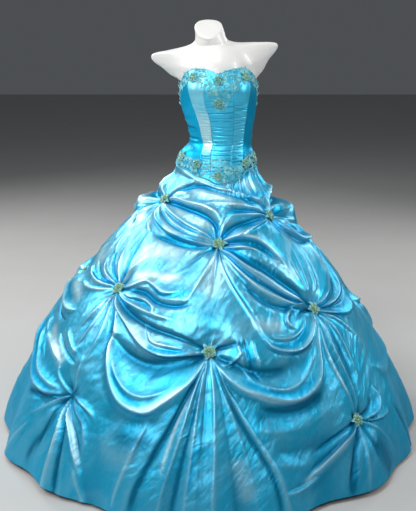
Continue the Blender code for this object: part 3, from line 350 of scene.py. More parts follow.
    (7, 9, 9, 0, "free", ((-16, .290), (-19, .200), (-21.5, .110), (-23.5, .010))),
    (6, 10, 4, 0, "hem", ((0, .465), (1, .380), (1.3, .290), (1.2, .190), (0.8, .090), (0.5, .000))),
    (-3, 8, 5, 0, "hem", ((0, .465), (3, .370), (4.2, .280), (5.2, .190), (5.8, .100), (6.2, -.010))),
    (4, 4, 9, 0, "hem", ((0, .465), (4.4, .355), (7.2, .270), (9.2, .190), (10.4, .110), (11.4, .010))),
    (-6, 4.5, 5, 0, "hem", ((1, .463), (4, .372), (7, .305), (10.4, .240), (13.4, .175), (15.2, .120),
        (16, .040))),
    (8.5, 4, 8, 0, "hem", ((1, .463), (5, .372), (8.4, .305), (12, .240), (15, .175), (17, .120),
        (18.2, .040), (18.6, -.010))),
    # the large swag from the low rosette to the right one
    (14, 44, 17, 0.4, "held", RIGHT_SWAG),
    (6, 12, 9, 0.2, "held", RIGHT_SWAG),
    (8, 10, 9, 0, "free", RIGHT_INNER),
    (-13, 26, 28, 0, "fan", ((0, .467), (7, .436), (15, .408), (24, .404), (33, .430), (39, .480))),
    (8, 6, 5, 0.4, "free", ((1, .467), (4, .440), (6, .434), (9.6, .454), (11, .471))),
    (-12, 10, 10, 0, "fan", ((0, .477), (4, .479), (8, .485), (12, .493))),
    (6, 5, 5, 0, "free", ((9.5, .501), (10, .457), (11.5, .410), (13.5, .372))),
    (-6, 5, 5, 0, "free", ((12, .501), (12.5, .456), (14, .410), (15.5, .380))),
    (6, 5, 5, 0, "free", ((14.5, .495), (15, .455), (16.3, .415))),
    (13, 12, 7, 0.7, "held", ((19.5, .490), (21.5, .468), (25, .455), (30, .450), (34.6, .463),
        (38.7, .494), (42.9, .527), (47.5, .541))),
    (6, 5, 5, 0.3, "free", ((21.5, .492), (25.5, .484), (30, .483), (34.3, .497), (38.1, .524))),
    # broad swells under the swags
    (5, 26, 20, 0.2, "free", ((9, .275), (16, .248), (24, .246), (32.1, .262), (39.2, .290))),
    (-7, 26, 26, 0, "free", ((12, .312), (20, .296), (28, .300), (36, .330))),
    (-5, 24, 24, 0, "free", ((15, .205), (22, .188), (30.1, .196), (38.1, .221))),
    (4, 20, 20, 0, "free", ((16, .165), (22, .148), (28, .150))),
    (-4, 30, 30, 0, "free", ((-33.4, .285), (-26, .262), (-18, .262), (-12, .280))),
    (3, 30, 30, 0, "free", ((-32, .215), (-25, .190), (-17, .195))),
    # round the low rosette on the right
    (13, 9, 7, 0.6, "fan", ((46.4, .213), (50.9, .208), (55.6, .216), (57.5, .240), (57, .268), (58, .305))),
    (-8, 7, 7, 0, "fan", ((46.4, .215), (50.9, .225), (53.2, .246), (53.6, .280))),
    (12, 9, 6, 0.7, "fan", ((46.4, .211), (51.5, .195), (57, .186), (60, .190), (60.5, .203))),
    (-7, 6, 6, 0, "fan", ((46.4, .212), (51.6, .202), (57, .198))),
    (17, 14, 9, 0.7, "fan", ((45.5, .211), (41, .188), (36.3, .165), (32, .140), (28, .120), (24.5, .106),
        (20, .096))),
    (-11, 10, 10, 0, "fan", ((45.5, .213), (38.1, .204), (31.1, .182), (26, .165))),
    (9, 7, 7, 0.3, "free", ((29, .108), (25, .092), (21, .083), (17.5, .082))),
    (-15, 11, 11, 0, "fan", ((45.5, .209), (41.1, .159), (38.5, .110), (37, .060), (36, .000))),
    (12, 9, 9, 0, "fan", ((45.7, .209), (43.3, .159), (42, .100), (41, .040), (40.6, -.010))),
    (-7, 11, 11, 0, "fan", ((45.9, .209), (46.6, .159), (47, .100), (47, .040))),
    (10, 20, 16, 0.4, "free", ((60, .330), (70, .282), (80, .285), (90, .350))),
    (7, 14, 14, 0, "fan", ((46.4, .209), (52.1, .150), (56, .080), (58, .010))),
    (-7, 12, 12, 0, "free", ((64, .200), (66, .130), (67, .050), (67, -.010))),
    (8, 14, 14, 0, "free", ((72, .220), (74, .140), (75, .060), (76, -.010))),
)

# Painted glow, where light reflected inside the rolled edges and tucked loops makes the satin's colour
# fullest: strength, width in mm, route.
PAINTED_GLOWS = (
    (1.0, 9, ((-31, .405), (-28.5, .372), (-25, .340), (-20.5, .320), (-17, .322))),
    (1.0, 10, ((8, .401), (12, .378), (17, .357), (22, .341), (27, .343), (31, .362), (34, .390))),
    (1.0, 10, ((-86, .440), (-80, .370), (-72, .310), (-64, .284), (-56.1, .276), (-50.2, .279))),
    (1.0, 7, ((-22, .478), (-18, .464), (-12, .463), (-6, .466))),
    (1.0, 8, ((21, .478), (25, .466), (30, .464), (34.1, .479), (37.8, .507))),
    (0.9, 7, ((-35.6, .593), (-28.4, .578), (-24.1, .568))),
    (0.9, 8, ((-27.3, .626), (-21.1, .606), (-14, .610), (-6, .624))),
    (0.9, 9, ((53.3, .557), (64, .580), (71, .625), (73, .675))),
    (0.9, 9, ((58.4, .531), (69, .545), (78, .585))),
    (0.9, 9, ((53.2, .518), (62, .497), (72, .502))),
    (0.8, 10, ((20.3, .794), (35.1, .783), (50.2, .797))),
    (0.9, 9, ((8.1, .823), (22.3, .823), (42.8, .818), (57.3, .809))),
    (1.0, 12, ((63.9, .779), (66.8, .743), (76.1, .722), (88, .716))),
    (0.9, 12, ((30.5, .856), (44.8, .867), (59.2, .863), (72.5, .868))),
    (0.9, 10, ((-60.8, .844), (-66, .818), (-74.4, .800), (-86, .790))),
    (0.8, 8, ((-47.2, .824), (-38.9, .796), (-30.1, .772))),
    (0.8, 8, ((-30, .758), (-17.9, .759), (-5.4, .755))),
    (0.8, 8, ((-76.1, .780), (-77, .740), (-76, .700))),
    (0.8, 9, ((-62, .690), (-56.3, .651), (-51.9, .624))),
    (0.8, 9, ((-56.8, .598), (-64.1, .604), (-72, .618))),
    (0.8, 10, ((-84, .545), (-77, .520), (-68, .510))),
    (1.0, 9, ((12.6, .485), (13.4, .437), (14.2, .385))),
    (0.7, 9, ((-3.2, .250), (-4, .170), (-5, .080))),
    (0.7, 8, ((50.9, .213), (55.1, .226), (56, .255))),
)


# Painted highlights on broad places where the satin's floats lie towards the light: strength, width in mm,
# route.
PAINTED_HIGHLIGHTS = (
    (0.8, 14, ((-27.2, .890), (-8.2, .874), (10, .860), (26.4, .850))),
    (0.7, 9, ((-36.5, .837), (-20.2, .813), (-7.8, .798), (0.5, .791))),
    (0.8, 24, ((-59.6, .802), (-66.2, .770), (-72, .745))),
    (0.9, 24, ((-42.1, .700), (-30, .716), (-13.9, .717))),
    (0.8, 14, ((-39.8, .636), (-26.1, .650), (-10, .650))),
    (0.8, 26, ((-84, .680), (-76, .650), (-66, .640))),
    (0.8, 20, ((-78, .560), (-70, .545), (-62, .530))),
    (0.9, 20, ((-76, .425), (-66, .398), (-57, .372), (-52, .345))),
    (0.8, 9, ((-24, .310), (-17, .314), (-12, .346), (-7, .382))),
    (0.9, 6, ((-35, .490), (-34, .440), (-32.5, .400))),
    (0.9, 6, ((-4, .391), (-8, .300), (-10.5, .210), (-12, .130))),
    (0.9, 7, ((-44.4, .262), (-38.6, .205), (-35.8, .155), (-33.8, .110))),
    (0.9, 4, ((-44.9, .250), (-43.3, .180), (-43.1, .110))),
    (0.9, 6, ((9.9, .768), (20.4, .766), (29.2, .752), (35.1, .728), (39, .690))),
    (0.9, 6, ((11.5, .713), (20, .668), (30, .618), (41.5, .564))),
    (0.6, 22, ((34, .700), (40, .660), (46.1, .620))),
    (0.7, 30, ((4.7, .724), (2.1, .661), (-3, .600))),
    (0.6, 22, ((14, .545), (22, .520), (28.1, .520))),
    (0.9, 7, ((7, .383), (14, .346), (22, .319), (30, .326), (35, .358), (38, .420))),
    (0.8, 6, ((42.4, .472), (42, .380), (44, .279))),
    (0.8, 6, ((66, .600), (71, .660), (72, .700))),
    (0.9, 8, ((40.2, .185), (33, .146), (27, .116), (22, .098))),
    (0.6, 30, ((-30.2, .540), (-22, .480), (-14, .471))),
    (0.7, 9, ((-43, .618), (-34.2, .624), (-27.2, .642))),
    (0.7, 16, ((30, .905), (45.1, .900), (60.3, .885))),
    (0.8, 8, ((-44.7, .643), (-39.1, .690), (-34, .730))),
    (0.2, 30, ((-30, .200), (-24, .170), (-18, .180))),
    (0.5, 24, ((6, .200), (8, .130), (9, .060))),
)

# Pockets and undersides where the cloth is shaded: strength, width in mm, route.
SHADES = (
    (0.45, 6, ((20, .871), (30.2, .861), (43.1, .850), (57, .838))),
    (0.9, 7, ((-51.2, .855), (-36.9, .850), (-18.4, .837), (-4.9, .821), (3.4, .799), (5.8, .775))),
    (0.7, 9, ((-42.4, .895), (-29, .901), (-12.3, .895), (2, .880))),
    (0.8, 10, ((-46.2, .765), (-32, .755), (-13.8, .746), (-1.2, .750))),
    (0.8, 10, ((9, .756), (20.4, .748), (30.1, .733), (37, .705))),
    (1.0, 16, ((10.8, .734), (20.1, .699), (29, .668), (37.1, .620), (44.4, .575))),
    (0.7, 9, ((9.7, .777), (18.3, .790), (33.1, .798), (52.7, .803))),
    (0.8, 14, ((64.2, .801), (72.2, .784), (82.2, .765), (92, .750))),
    (0.8, 15, ((46.5, .541), (40.6, .552), (33.5, .538), (31.2, .513))),
    (0.8, 13, ((50.2, .535), (58.3, .518), (68, .522), (76, .540))),
    (0.7, 11, ((60.2, .561), (68, .600), (70, .660))),
    (0.8, 10, ((-44.4, .608), (-34.5, .603), (-26.3, .593))),
    (0.9, 16, ((-41.7, .585), (-30.2, .545), (-20, .516), (-8, .499), (0, .482))),
    (0.6, 20, ((-31, .455), (-23, .428), (-14, .424), (-7, .441), (-1, .464))),
    (0.9, 13, ((-21, .372), (-14.8, .405), (-9, .432), (-2.7, .461))),
    (0.8, 10, ((2, .477), (8, .484), (15, .480))),
    (0.5, 18, ((4, .440), (11, .418), (18, .404), (26, .410))),
    (0.6, 9, ((-44, .586), (-37.2, .520), (-36, .470), (-36.5, .410))),
    (0.6, 13, ((-52.9, .562), (-60.1, .555), (-68, .552))),
    (0.5, 8, ((-66, .470), (-74, .456), (-84, .450))),
    (0.6, 26, ((-27, .245), (-20, .215), (-14, .240))),
    (0.8, 12, ((-46.4, .281), (-52.4, .262), (-60, .240), (-68, .225))),
    (0.7, 12, ((-43.1, .272), (-37.7, .250), (-35.1, .220))),
    (0.8, 13, ((-46.6, .270), (-48, .190), (-52, .110), (-54, .030))),
    (0.8, 9, ((-44.2, .262), (-41.2, .190), (-40.2, .100), (-39.9, .010))),
    (0.9, 8, ((-2, .434), (-8, .320), (-13, .220), (-17, .110), (-19, .000))),
    (0.7, 7, ((-1.5, .423), (-4.4, .290), (-6.6, .180), (-8.6, .040))),
    (0.7, 5, ((2, .445), (6, .340), (10, .250), (14, .165), (16, .080), (16.5, .000))),
    (0.7, 20, ((8, .300), (18, .292), (28, .296), (38, .320))),
    (0.9, 12, ((44.9, .202), (39.8, .150), (37.5, .080), (36, .000))),
    (0.7, 34, ((47.3, .150), (50, .090), (52, .010))),
    (0.6, 20, ((46.1, .300), (48, .400), (50.6, .482))),
    (0.6, 9, ((46.4, .219), (50.8, .234), (53.1, .262))),
)


# ---- the bodice's face ----
def bodice_face(angle, height):
    angle, height = np.broadcast_arrays(np.asarray(angle, float), np.asarray(height, float))
    turn = np.radians(angle)
    middle, width, front, back = (curve(BODICE_SECTIONS, height, column) for column in (1, 2, 3, 4))
    depth = mix(back, front, 0.5 + 0.5 * np.cos(turn))
    cups = np.zeros(turn.shape)
    for side in (-1, 1):
        across = turn_between(angle, side * CUP_ANGLE) / CUP_SPREAD_ANGLE
        up = (height - CUP_HEIGHT) / CUP_SPREAD_HEIGHT
        cups = cups + CUP_RISE * np.exp(-across * across - up * up)
    x = middle + (width + cups) * np.sin(turn)
    y = -(depth + cups) * np.cos(turn)
    return np.stack([x, y, height], -1)


def bodice_normal(angle, height):
    side = bodice_face(np.add(angle, 0.4), height) - bodice_face(np.subtract(angle, 0.4), height)
    rise = bodice_face(angle, np.add(height, 0.004)) - bodice_face(angle, np.subtract(height, 0.004))
    return unit(np.cross(side, rise))


def bodice_point(angle, height, lift):
    lift = np.asarray(lift, float)
    return bodice_face(angle, height) + bodice_normal(angle, height) * lift[..., None]


def seam_angle(seam, height):
    return np.full(np.shape(height), seam) if isinstance(seam, float) else curve(seam, height)


# ---- materials ----
def add_node(tree, kind, settings=None, **links):
    """Adds a node. Settings go on its properties or on its sockets, by name or place."""
    node = tree.nodes.new("ShaderNode" + kind)
    for key, value in (settings or {}).items():
        if isinstance(key, str) and hasattr(node, key):
            setattr(node, key, value)
        else:
            node.inputs[key].default_value = value
    feed(tree, node, **links)
    return node


def feed(tree, node, **links):
    """Links sockets, by name or as in0, in1, to what feeds them; a node gives its first output."""
    for key, source in links.items():
        socket = int(key[2:]) if key[2:].isdigit() else key.replace("_", " ")
        output = source if isinstance(source, bpy.types.NodeSocket) else source.outputs[0]
        tree.links.new(output, node.inputs[socket])


def new_material(name, settings):
    material = bpy.data.materials.new(name)
    material.use_nodes = True
    tree = material.node_tree
    shader = tree.nodes["Principled BSDF"]
    for key, value in settings.items():
        shader.inputs[key].default_value = value
    return material, tree, shader


def satin_relief(tree, uv, up, creases):
    """The creases that a folded and hung satin keeps, and its weft: the normal, and the fine strain lines."""
    # flat facets between sharp lines, some a few centimetres wide and some half of that
    waver = add_node(tree, "TexNoise", {"Scale": 9.0, "Detail": 3.0}, Vector=uv)
    shifted = add_node(tree, "Mix", {"data_type": "VECTOR", 0: 0.07}, in4=uv, in5=waver.outputs["Color"])
    stretch = add_node(tree, "Mapping", {"vector_type": "TEXTURE", "Scale": (0.53, 2.2, 1.0),
                                         "Rotation": (0.0, 0.0, -0.45)}, Vector=shifted.outputs[1])
    crinkle = add_node(tree, "TexVoronoi", {"feature": "DISTANCE_TO_EDGE", "Scale": 24.0}, Vector=stretch)
    turned = add_node(tree, "Mapping", {"vector_type": "TEXTURE", "Scale": (0.83, 1.25, 1.0),
                                        "Rotation": (0.0, 0.0, 0.80)}, Vector=shifted.outputs[1])
    small = add_node(tree, "TexVoronoi", {"feature": "DISTANCE_TO_EDGE", "Scale": 58.0}, Vector=turned)
    # fine strain lines on the slant, a few millimetres wide
    slant = add_node(tree, "Mapping", {"vector_type": "TEXTURE", "Scale": (1.0, 5.0, 1.0),
                                       "Rotation": (0.0, 0.0, -0.65)}, Vector=uv)
    strain = add_node(tree, "TexNoise", {"Scale": 130.0, "Detail": 3.0, "Roughness": 0.6}, Vector=slant)
    # weft lines, really 0.1 mm apart, drawn 1.4 mm apart so that they show
    weft = add_node(tree, "TexWave", {"bands_direction": "Y", "Scale": 220.0, "Distortion": 1.2,
                                      "Detail": 1.0}, Vector=uv)
    # low down, where the hem is trodden and brushed, the creases are stronger
    crumpled = add_node(tree, "MapRange", {1: 0.15, 2: 0.75, 3: 0.55 * creases, 4: 0.15 * creases}, Value=up)
    strained = add_node(tree, "MapRange", {1: 0.15, 2: 0.75, 3: 0.85 * creases, 4: 0.40 * creases}, Value=up)
    first = add_node(tree, "Bump", {"Distance": 0.0070}, Height=crinkle, Strength=crumpled)
    second = add_node(tree, "Bump", {"Strength": 0.13 * creases, "Distance": 0.0030}, Height=small,
                      Normal=first)
    third = add_node(tree, "Bump", {"Distance": 0.0016}, Height=strain, Strength=strained, Normal=second)
    fourth = add_node(tree, "Bump", {"Strength": 0.08, "Distance": 0.0006}, Height=weft, Normal=third)
    return fourth, strain


def satin_colour(tree, uv, up, pale, light, full, dark, flame):
    """The satin's colour: a soft drift, feathered painted highlights, and the painted highlights, glow and
    shade laid on the piece's points.
    """
    patches = add_node(tree, "TexNoise", {"Scale": 7.0, "Detail": 3.0}, Vector=uv)
    share = add_node(tree, "MapRange", {1: 0.30, 2: 0.75, 3: 0.0, 4: 0.14}, Value=patches)
    colour = add_node(tree, "Mix", {"data_type": "RGBA", 6: linear(light), 7: linear(full)}, in0=share)
    # feathered painted highlights where the floats lie towards the light, long on the slant and stronger high
    # up
    flow = add_node(tree, "Mapping", {"vector_type": "TEXTURE", "Scale": (1.0, 2.4, 1.0),
                                      "Rotation": (0.0, 0.0, -0.60)}, Vector=uv)
    feather = add_node(tree, "TexNoise", {"Scale": 15.0, "Detail": 5.0, "Roughness": 0.62, "Distortion": 0.8},
                       Vector=flow)
    patch = add_node(tree, "MapRange", {1: 0.44, 2: 0.60, 3: 0.0, 4: 0.42 * flame}, Value=feather)
    higher = add_node(tree, "MapRange", {1: 0.45, 2: 1.0, 3: 0.28, 4: 1.0}, Value=up)
    painted_flames = add_node(tree, "Math", {"operation": "MULTIPLY"}, in0=patch, in1=higher)
    floats = add_node(tree, "Mix", {"data_type": "RGBA", 7: linear(pale)}, in0=painted_flames, in6=colour.outputs[2])
    result = floats.outputs[2]
    # painted highlight, painted glow and painted shade, read from the piece's points
    for tone, tint in (("pale", pale), ("glow", full), ("deep", dark)):
        amount = add_node(tree, "Attribute", {"attribute_name": tone})
        toned = add_node(tree, "Mix", {"data_type": "RGBA", 7: linear(tint)}, in0=amount.outputs["Fac"],
                         in6=result)
        result = toned.outputs[2]
    return result


def satin_material(name, pale, light, full, dark, creases, metallic, gloss, flame):
    """Polyester satin: long floats of bright filament, so the light runs along the folds in soft streaks."""
    material, tree, shader = new_material(name, {
        "Metallic": metallic, "IOR": 1.45, "Specular IOR Level": 0.5 * gloss, "Anisotropic": 0.30,
        "Specular Tint": linear("#A8E2F4"), "Coat Weight": 0.06 * gloss, "Coat Roughness": 0.30})
    uv = add_node(tree, "UVMap", {"uv_map": "cloth"}).outputs["UV"]
    up = add_node(tree, "SeparateXYZ", Vector=uv).outputs[1]
    normal, strain = satin_relief(tree, uv, up, creases)
    colour = satin_colour(tree, uv, up, pale, light, full, dark, flame)
    rough = add_node(tree, "MapRange", {1: 0.3, 2: 0.7, 3: 0.30, 4: 0.40}, Value=strain)
    # towards the hem the cloth is more creased from wear and duller
    duller = add_node(tree, "MapRange", {1: 0.15, 2: 0.60, 3: 0.16, 4: 0.0}, Value=up)
    summed = add_node(tree, "Math", {"operation": "ADD"}, in0=rough, in1=duller)
    along = add_node(tree, "Tangent", {"direction_type": "UV_MAP", "uv_map": "cloth"})
    feed(tree, shader, Normal=normal, Base_Color=colour, Roughness=summed, Tangent=along)
    return material


def lace_material(name, low, high):
    """Rayon embroidery and cord: soft matt thread with a faint shine along each stitch."""
    material, tree, shader = new_material(name, {"Roughness": 0.55, "Sheen Weight": 0.15})
    place = add_node(tree, "TexCoord").outputs["Object"]
    # satin stitches, really 0.3 mm apart, drawn 1.3 mm apart so that they show
    stitch = add_node(tree, "TexWave", {"bands_direction": "DIAGONAL", "Scale": 280.0, "Distortion": 4.0,
                                        "Detail": 2.0}, Vector=place)
    bump = add_node(tree, "Bump", {"Strength": 0.5, "Distance": 0.0006}, Height=stitch)
    shade = add_node(tree, "TexNoise", {"Scale": 60.0, "Detail": 3.0}, Vector=place)
    share = add_node(tree, "MapRange", {1: 0.35, 2: 0.65}, Value=shade)
    colour = add_node(tree, "Mix", {"data_type": "RGBA", 6: linear(low), 7: linear(high)}, in0=share)
    feed(tree, shader, Normal=bump, Base_Color=colour.outputs[2])
    return material


def bead_material(name, low, high, metallic):
    """Pressed glass beads with a metal lining: each one carries a small sharp highlight."""
    material, tree, shader = new_material(name, {"Roughness": 0.22, "Metallic": metallic})
    place = add_node(tree, "TexCoord").outputs["Object"]
    shade = add_node(tree, "TexNoise", {"Scale": 190.0, "Detail": 2.0}, Vector=place)
    share = add_node(tree, "MapRange", {1: 0.38, 2: 0.62}, Value=shade)
    colour = add_node(tree, "Mix", {"data_type": "RGBA", 6: linear(low), 7: linear(high)}, in0=share)
    feed(tree, shader, Base_Color=colour.outputs[2])
    return material


def form_material():
    """Glass-fibre shell with sprayed white enamel: almost smooth, with a broad soft gloss."""
    material, tree, shader = new_material("sprayed_white_enamel", {"Roughness": 0.32, "Coat Weight": 0.15})
    place = add_node(tree, "TexCoord").outputs["Object"]
    waves = add_node(tree, "TexNoise", {"Scale": 14.0, "Detail": 2.0}, Vector=place)
    bump = add_node(tree, "Bump", {"Strength": 0.05, "Distance": 0.002}, Height=waves)
    shade = add_node(tree, "TexNoise", {"Scale": 5.0, "Detail": 4.0}, Vector=place)
    share = add_node(tree, "MapRange", {1: 0.35, 2: 0.70}, Value=shade)
    colour = add_node(tree, "Mix", {"data_type": "RGBA", 6: linear("#E4E4E2"), 7: linear("#DCDCD8")},
                      in0=share)
    feed(tree, shader, Normal=bump, Base_Color=colour.outputs[2])
    return material


def steel_material():
    """Brushed stainless steel: fine turned lines round the pole and the base."""
    material, tree, shader = new_material("brushed_stainless_steel", {"Metallic": 1.0, "Roughness": 0.34})
    place = add_node(tree, "TexCoord").outputs["Object"]
    # brush lines, really under 0.1 mm, drawn about 2 mm apart
    stretch = add_node(tree, "Mapping", {"Scale": (3.0, 3.0, 500.0)}, Vector=place)
    lines = add_node(tree, "TexNoise", {"Scale": 1.0, "Detail": 3.0}, Vector=stretch)
    bump = add_node(tree, "Bump", {"Strength": 0.15, "Distance": 0.0004}, Height=lines)
    colour = add_node(tree, "Mix", {"data_type": "RGBA", 6: linear("#A9ADB2"), 7: linear("#C9CCCF")},
                      in0=lines)
    feed(tree, shader, Normal=bump, Base_Color=colour.outputs[2])
    return material


def floor_material():
    """Matt floor paint, rolled on: hardly any gloss and a faint drift of shade."""
    material, tree, shader = new_material("painted_pale_floor", {"Roughness": 0.8})
    place = add_node(tree, "TexCoord").outputs["Object"]
    shade = add_node(tree, "TexNoise", {"Scale": 3.0, "Detail": 4.0}, Vector=place)
    colour = add_node(tree, "Mix", {"data_type": "RGBA", 6: linear("#B9B9B7"), 7: linear("#C1C1BF")},
                      in0=shade)
    feed(tree, shader, Base_Color=colour.outputs[2])
    return material


# Satins: name, painted highlight, light, full and painted shade colour, then how creased, metallic and glossy
# each is, and how strong its feathered painted highlights are.
# The ruched front panels' satin has paler colours and the side panels' satin deeper ones: painted light and
# painted shade.
SATIN_SKIRT = satin_material("polyester_satin_turquoise", "#B8E9F6", "#2CB3DD", "#04A7DE", "#006F96",
                             1.0, 0.64, 1.0, 1.0)
SATIN_FRONT = satin_material("polyester_satin_ruched", "#C0F2FC", "#58DAFC", "#30BAEA", "#0A6E96",
                             0.2, 0.58, 0.7, 0.0)
SATIN_SIDE = satin_material("polyester_satin_side", "#5CC8E4", "#12B8EA", "#0098D0", "#005276",
                            0.3, 0.50, 0.3, 0.0)
LACE = lace_material("rayon_corded_lace", "#3FAEC8", "#86D4DE")
CORD = lace_material("rayon_couching_cord", "#43B0C0", "#9CE2DC")
BEADS = bead_material("lined_glass_beads_olive", "#5A987F", "#B0D8B4", 0.25)
PEARLS = bead_material("lined_glass_beads_clear", "#7FBDB4", "#CFE6D2", 0.2)
ENAMEL = form_material()
STEEL = steel_material()


# ---- meshes ----
def new_object(name, verts, faces, materials, kinds=None):
    """A smooth mesh with its place in its points; kinds name the material of each face, by its place."""
    mesh = bpy.data.meshes.new(name)
    mesh.from_pydata(np.asarray(verts, float).tolist(), [], [list(map(int, face)) for face in faces])
    for material in materials:
        mesh.materials.append(material)
    if kinds:
        mesh.polygons.foreach_set("material_index", kinds)
    mesh.shade_smooth()
    obj = bpy.data.objects.new(name, mesh)
    bpy.context.scene.collection.objects.link(obj)
    return obj


def grid_faces(rows, columns, closed=False):
    """Faces of a grid of points; rows run upwards and columns round to the right, so they face outwards."""
    across = columns if closed else columns - 1
    row, column = np.meshgrid(np.arange(rows - 1), np.arange(across), indexing="ij")
    following = (column + 1) % columns
    return np.stack([row * columns + column, row * columns + following,
                     (row + 1) * columns + following, (row + 1) * columns + column], -1).reshape(-1, 4)


def pad_faces(rows, columns):
    """Faces of a thin pad: a grid of points, the same grid again under it, and the edge all round."""
    upper, count = grid_faces(rows, columns), rows * columns
    ring = list(range(columns)) + [row * columns + columns - 1 for row in range(1, rows)]
    ring += [(rows - 1) * columns + column for column in range(columns - 2, -1, -1)]
    ring += [row * columns for row in range(rows - 2, 0, -1)]
    edge = [[here, here + count, there + count, there] for here, there in zip(ring, ring[1:] + ring[:1])]
    return list(upper) + list(upper[:, ::-1] + count) + edge


def cloth_uv(obj, u, v):
    """UV map in metres along the cloth, so a pattern keeps its real size."""
    layer = obj.data.uv_layers.new(name="cloth")
    index = np.empty(len(obj.data.loops), int)
    obj.data.loops.foreach_get("vertex_index", index)
    pair = np.stack([np.asarray(u).ravel()[index], np.asarray(v).ravel()[index]], -1)
    layer.data.foreach_set("uv", pair.astype(np.float32).ravel())


def point_value(obj, name, values):
    attribute = obj.data.attributes.new(name, "FLOAT", "POINT")
    attribute.data.foreach_set("value", np.asarray(values, np.float32).ravel())


def thicken(obj, thickness):
    """Gives a sheet its thickness, inwards."""
    bpy.ops.object.select_all(action="DESELECT")
    bpy.context.view_layer.objects.active = obj
    obj.select_set(True)
    before = len(obj.data.polygons)
    wall = obj.modifiers.new("thickness", "SOLIDIFY")
    wall.thickness = thickness
    wall.offset = -1.0
    wall.use_even_offset = False
    bpy.ops.object.modifier_apply(modifier=wall.name)
    # the cut edge is flat, so it doesn't pull the shading of the face
    for face in obj.data.polygons[2 * before:]:
        face.use_smooth = False
    obj.select_set(False)


# ---- the skirt ----
# Cells of a front gore and of a back gore: across, up.
FRONT_CELLS = ((283, 336))
BACK_CELLS = ((206, 236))
HEM_TURN = 0.024           # the hem is turned in by this much
HEM_ROOM = 0.007           # from the lowest place of the cloth up to the middle of the hem's wave
CRISP_UNDER = 10.5         # folds up to this width in mm have a crisp crest
SKIRT_THICKNESS = 0.0018   # room between the cloth and its turned hem
EDGE_TUCK = 0.0010         # the skirt ends this far under the bodice's edge
GORE_GAP = 0.00015         # each gore stops this far from its seam
STAR_REACH = 0.16          # round a pick-up, creases are laid up to here
# A fold that stands this far over the cloth round it, evened over so many cells, has drawn it tight.
TIGHT_CELLS, TIGHT_RELIEF = 13, 0.0035
# Rumples of loose cloth: seed, shortest and longest wave, height, number of waves and their bearings.
RUMPLES = ((5, 0.090, 0.220, 0.00150, 26, 0.0, math.pi), (6, 0.024, 0.060, 0.00060, 30, -1.20, -0.40),
           (7, 0.018, 0.036, 0.00014, 40, 0.0, math.pi))
# Crests and grooves: the cells that they are compared over, the relief left out, and a full crest and groove.
RELIEFS = ((2, 0.0003, 0.0014, 0.0200), (4, 0.0007, 0.0040, 0.0042), (13, 0.0030, 0.0200, 0.0110))
# The skirt's slope in small steps: how long it is from below the hem up to each height.
SLOPE_HEIGHTS = np.linspace(-0.05, 1.0, 400)
SLOPE_RADII = curve(SKIRT_SECTIONS, SLOPE_HEIGHTS, 1)
SLOPE_LENGTHS = np.concatenate([[0.0], np.cumsum(np.hypot(np.diff(SLOPE_HEIGHTS), np.diff(SLOPE_RADII)))])


def arc_of(height):
    """Length up the skirt from below the hem to a height."""
    return np.interp(height, SLOPE_HEIGHTS, SLOPE_LENGTHS)


def height_of(arc):
    return np.interp(arc, SLOPE_LENGTHS, SLOPE_HEIGHTS)


def flowing(route):
    """A route as a smooth line of short steps: angle and length up the skirt."""
    return np.array(smooth_line(np.array([(angle, arc_of(height)) for angle, height in route])))


def near_route(grid, line, reach):
    """For the grid points near a line: which they are, distance, share along it, side and its direction."""
    middle = line[:, 0].mean()
    offset = turn_between(grid["angle"], middle)
    angles = line[:, 0] - middle
    per_degree = np.radians(1.0) * grid["radius"]
    inside = ((offset > angles.min() - reach / per_degree) & (offset < angles.max() + reach / per_degree)
              & (grid["arc"] > line[:, 1].min() - reach) & (grid["arc"] < line[:, 1].max() + reach))
    spots = np.nonzero(inside)
    offset, arc, per_degree = offset[spots], grid["arc"][spots], per_degree[spots]
    best = np.full(offset.shape, 9.0)
    share, side = np.zeros(offset.shape), np.zeros(offset.shape)
    toward = np.zeros((2,) + offset.shape)
    steps = len(line) - 1
    for index in range(steps):
        ax = (angles[index] - offset) * per_degree
        ay = line[index, 1] - arc
        dx = (angles[index + 1] - angles[index]) * per_degree
        dy = line[index + 1, 1] - line[index, 1]
        length = np.maximum(dx * dx + dy * dy, 1e-12)
        t = np.clip(-(ax * dx + ay * dy) / length, 0.0, 1.0)
        gap = np.hypot(ax + t * dx, ay + t * dy)
        closer = gap < best
        best = np.where(closer, gap, best)
        share = np.where(closer, (index + t) / steps, share)
        side = np.where(closer, np.sign(-dx * ay + dy * ax), side)
        root = np.sqrt(length)
        toward[0] = np.where(closer, -dy / root, toward[0])
        toward[1] = np.where(closer, dx / root, toward[1])
    return spots, best, share, side, toward


def end_shapes(ends, share):
    """How a fold's height and width change along it."""
    middle = np.sin(np.pi * np.clip(share, 0.02, 0.98))
    if ends == "held":
        return middle ** 0.45, 0.35 + 0.65 * middle ** 0.7
    if ends == "fan":
        return smooth(share / 0.12) * (1.0 - smooth((share - 0.45) / 0.55)), 0.35 + 1.0 * share
    if ends == "hem":
        return smooth(share / 0.10) * (1.0 - 0.30 * share), 0.35 + 1.75 * share
    return smooth(share / 0.22) * smooth((1.0 - share) / 0.22), 0.7 + 0.3 * middle


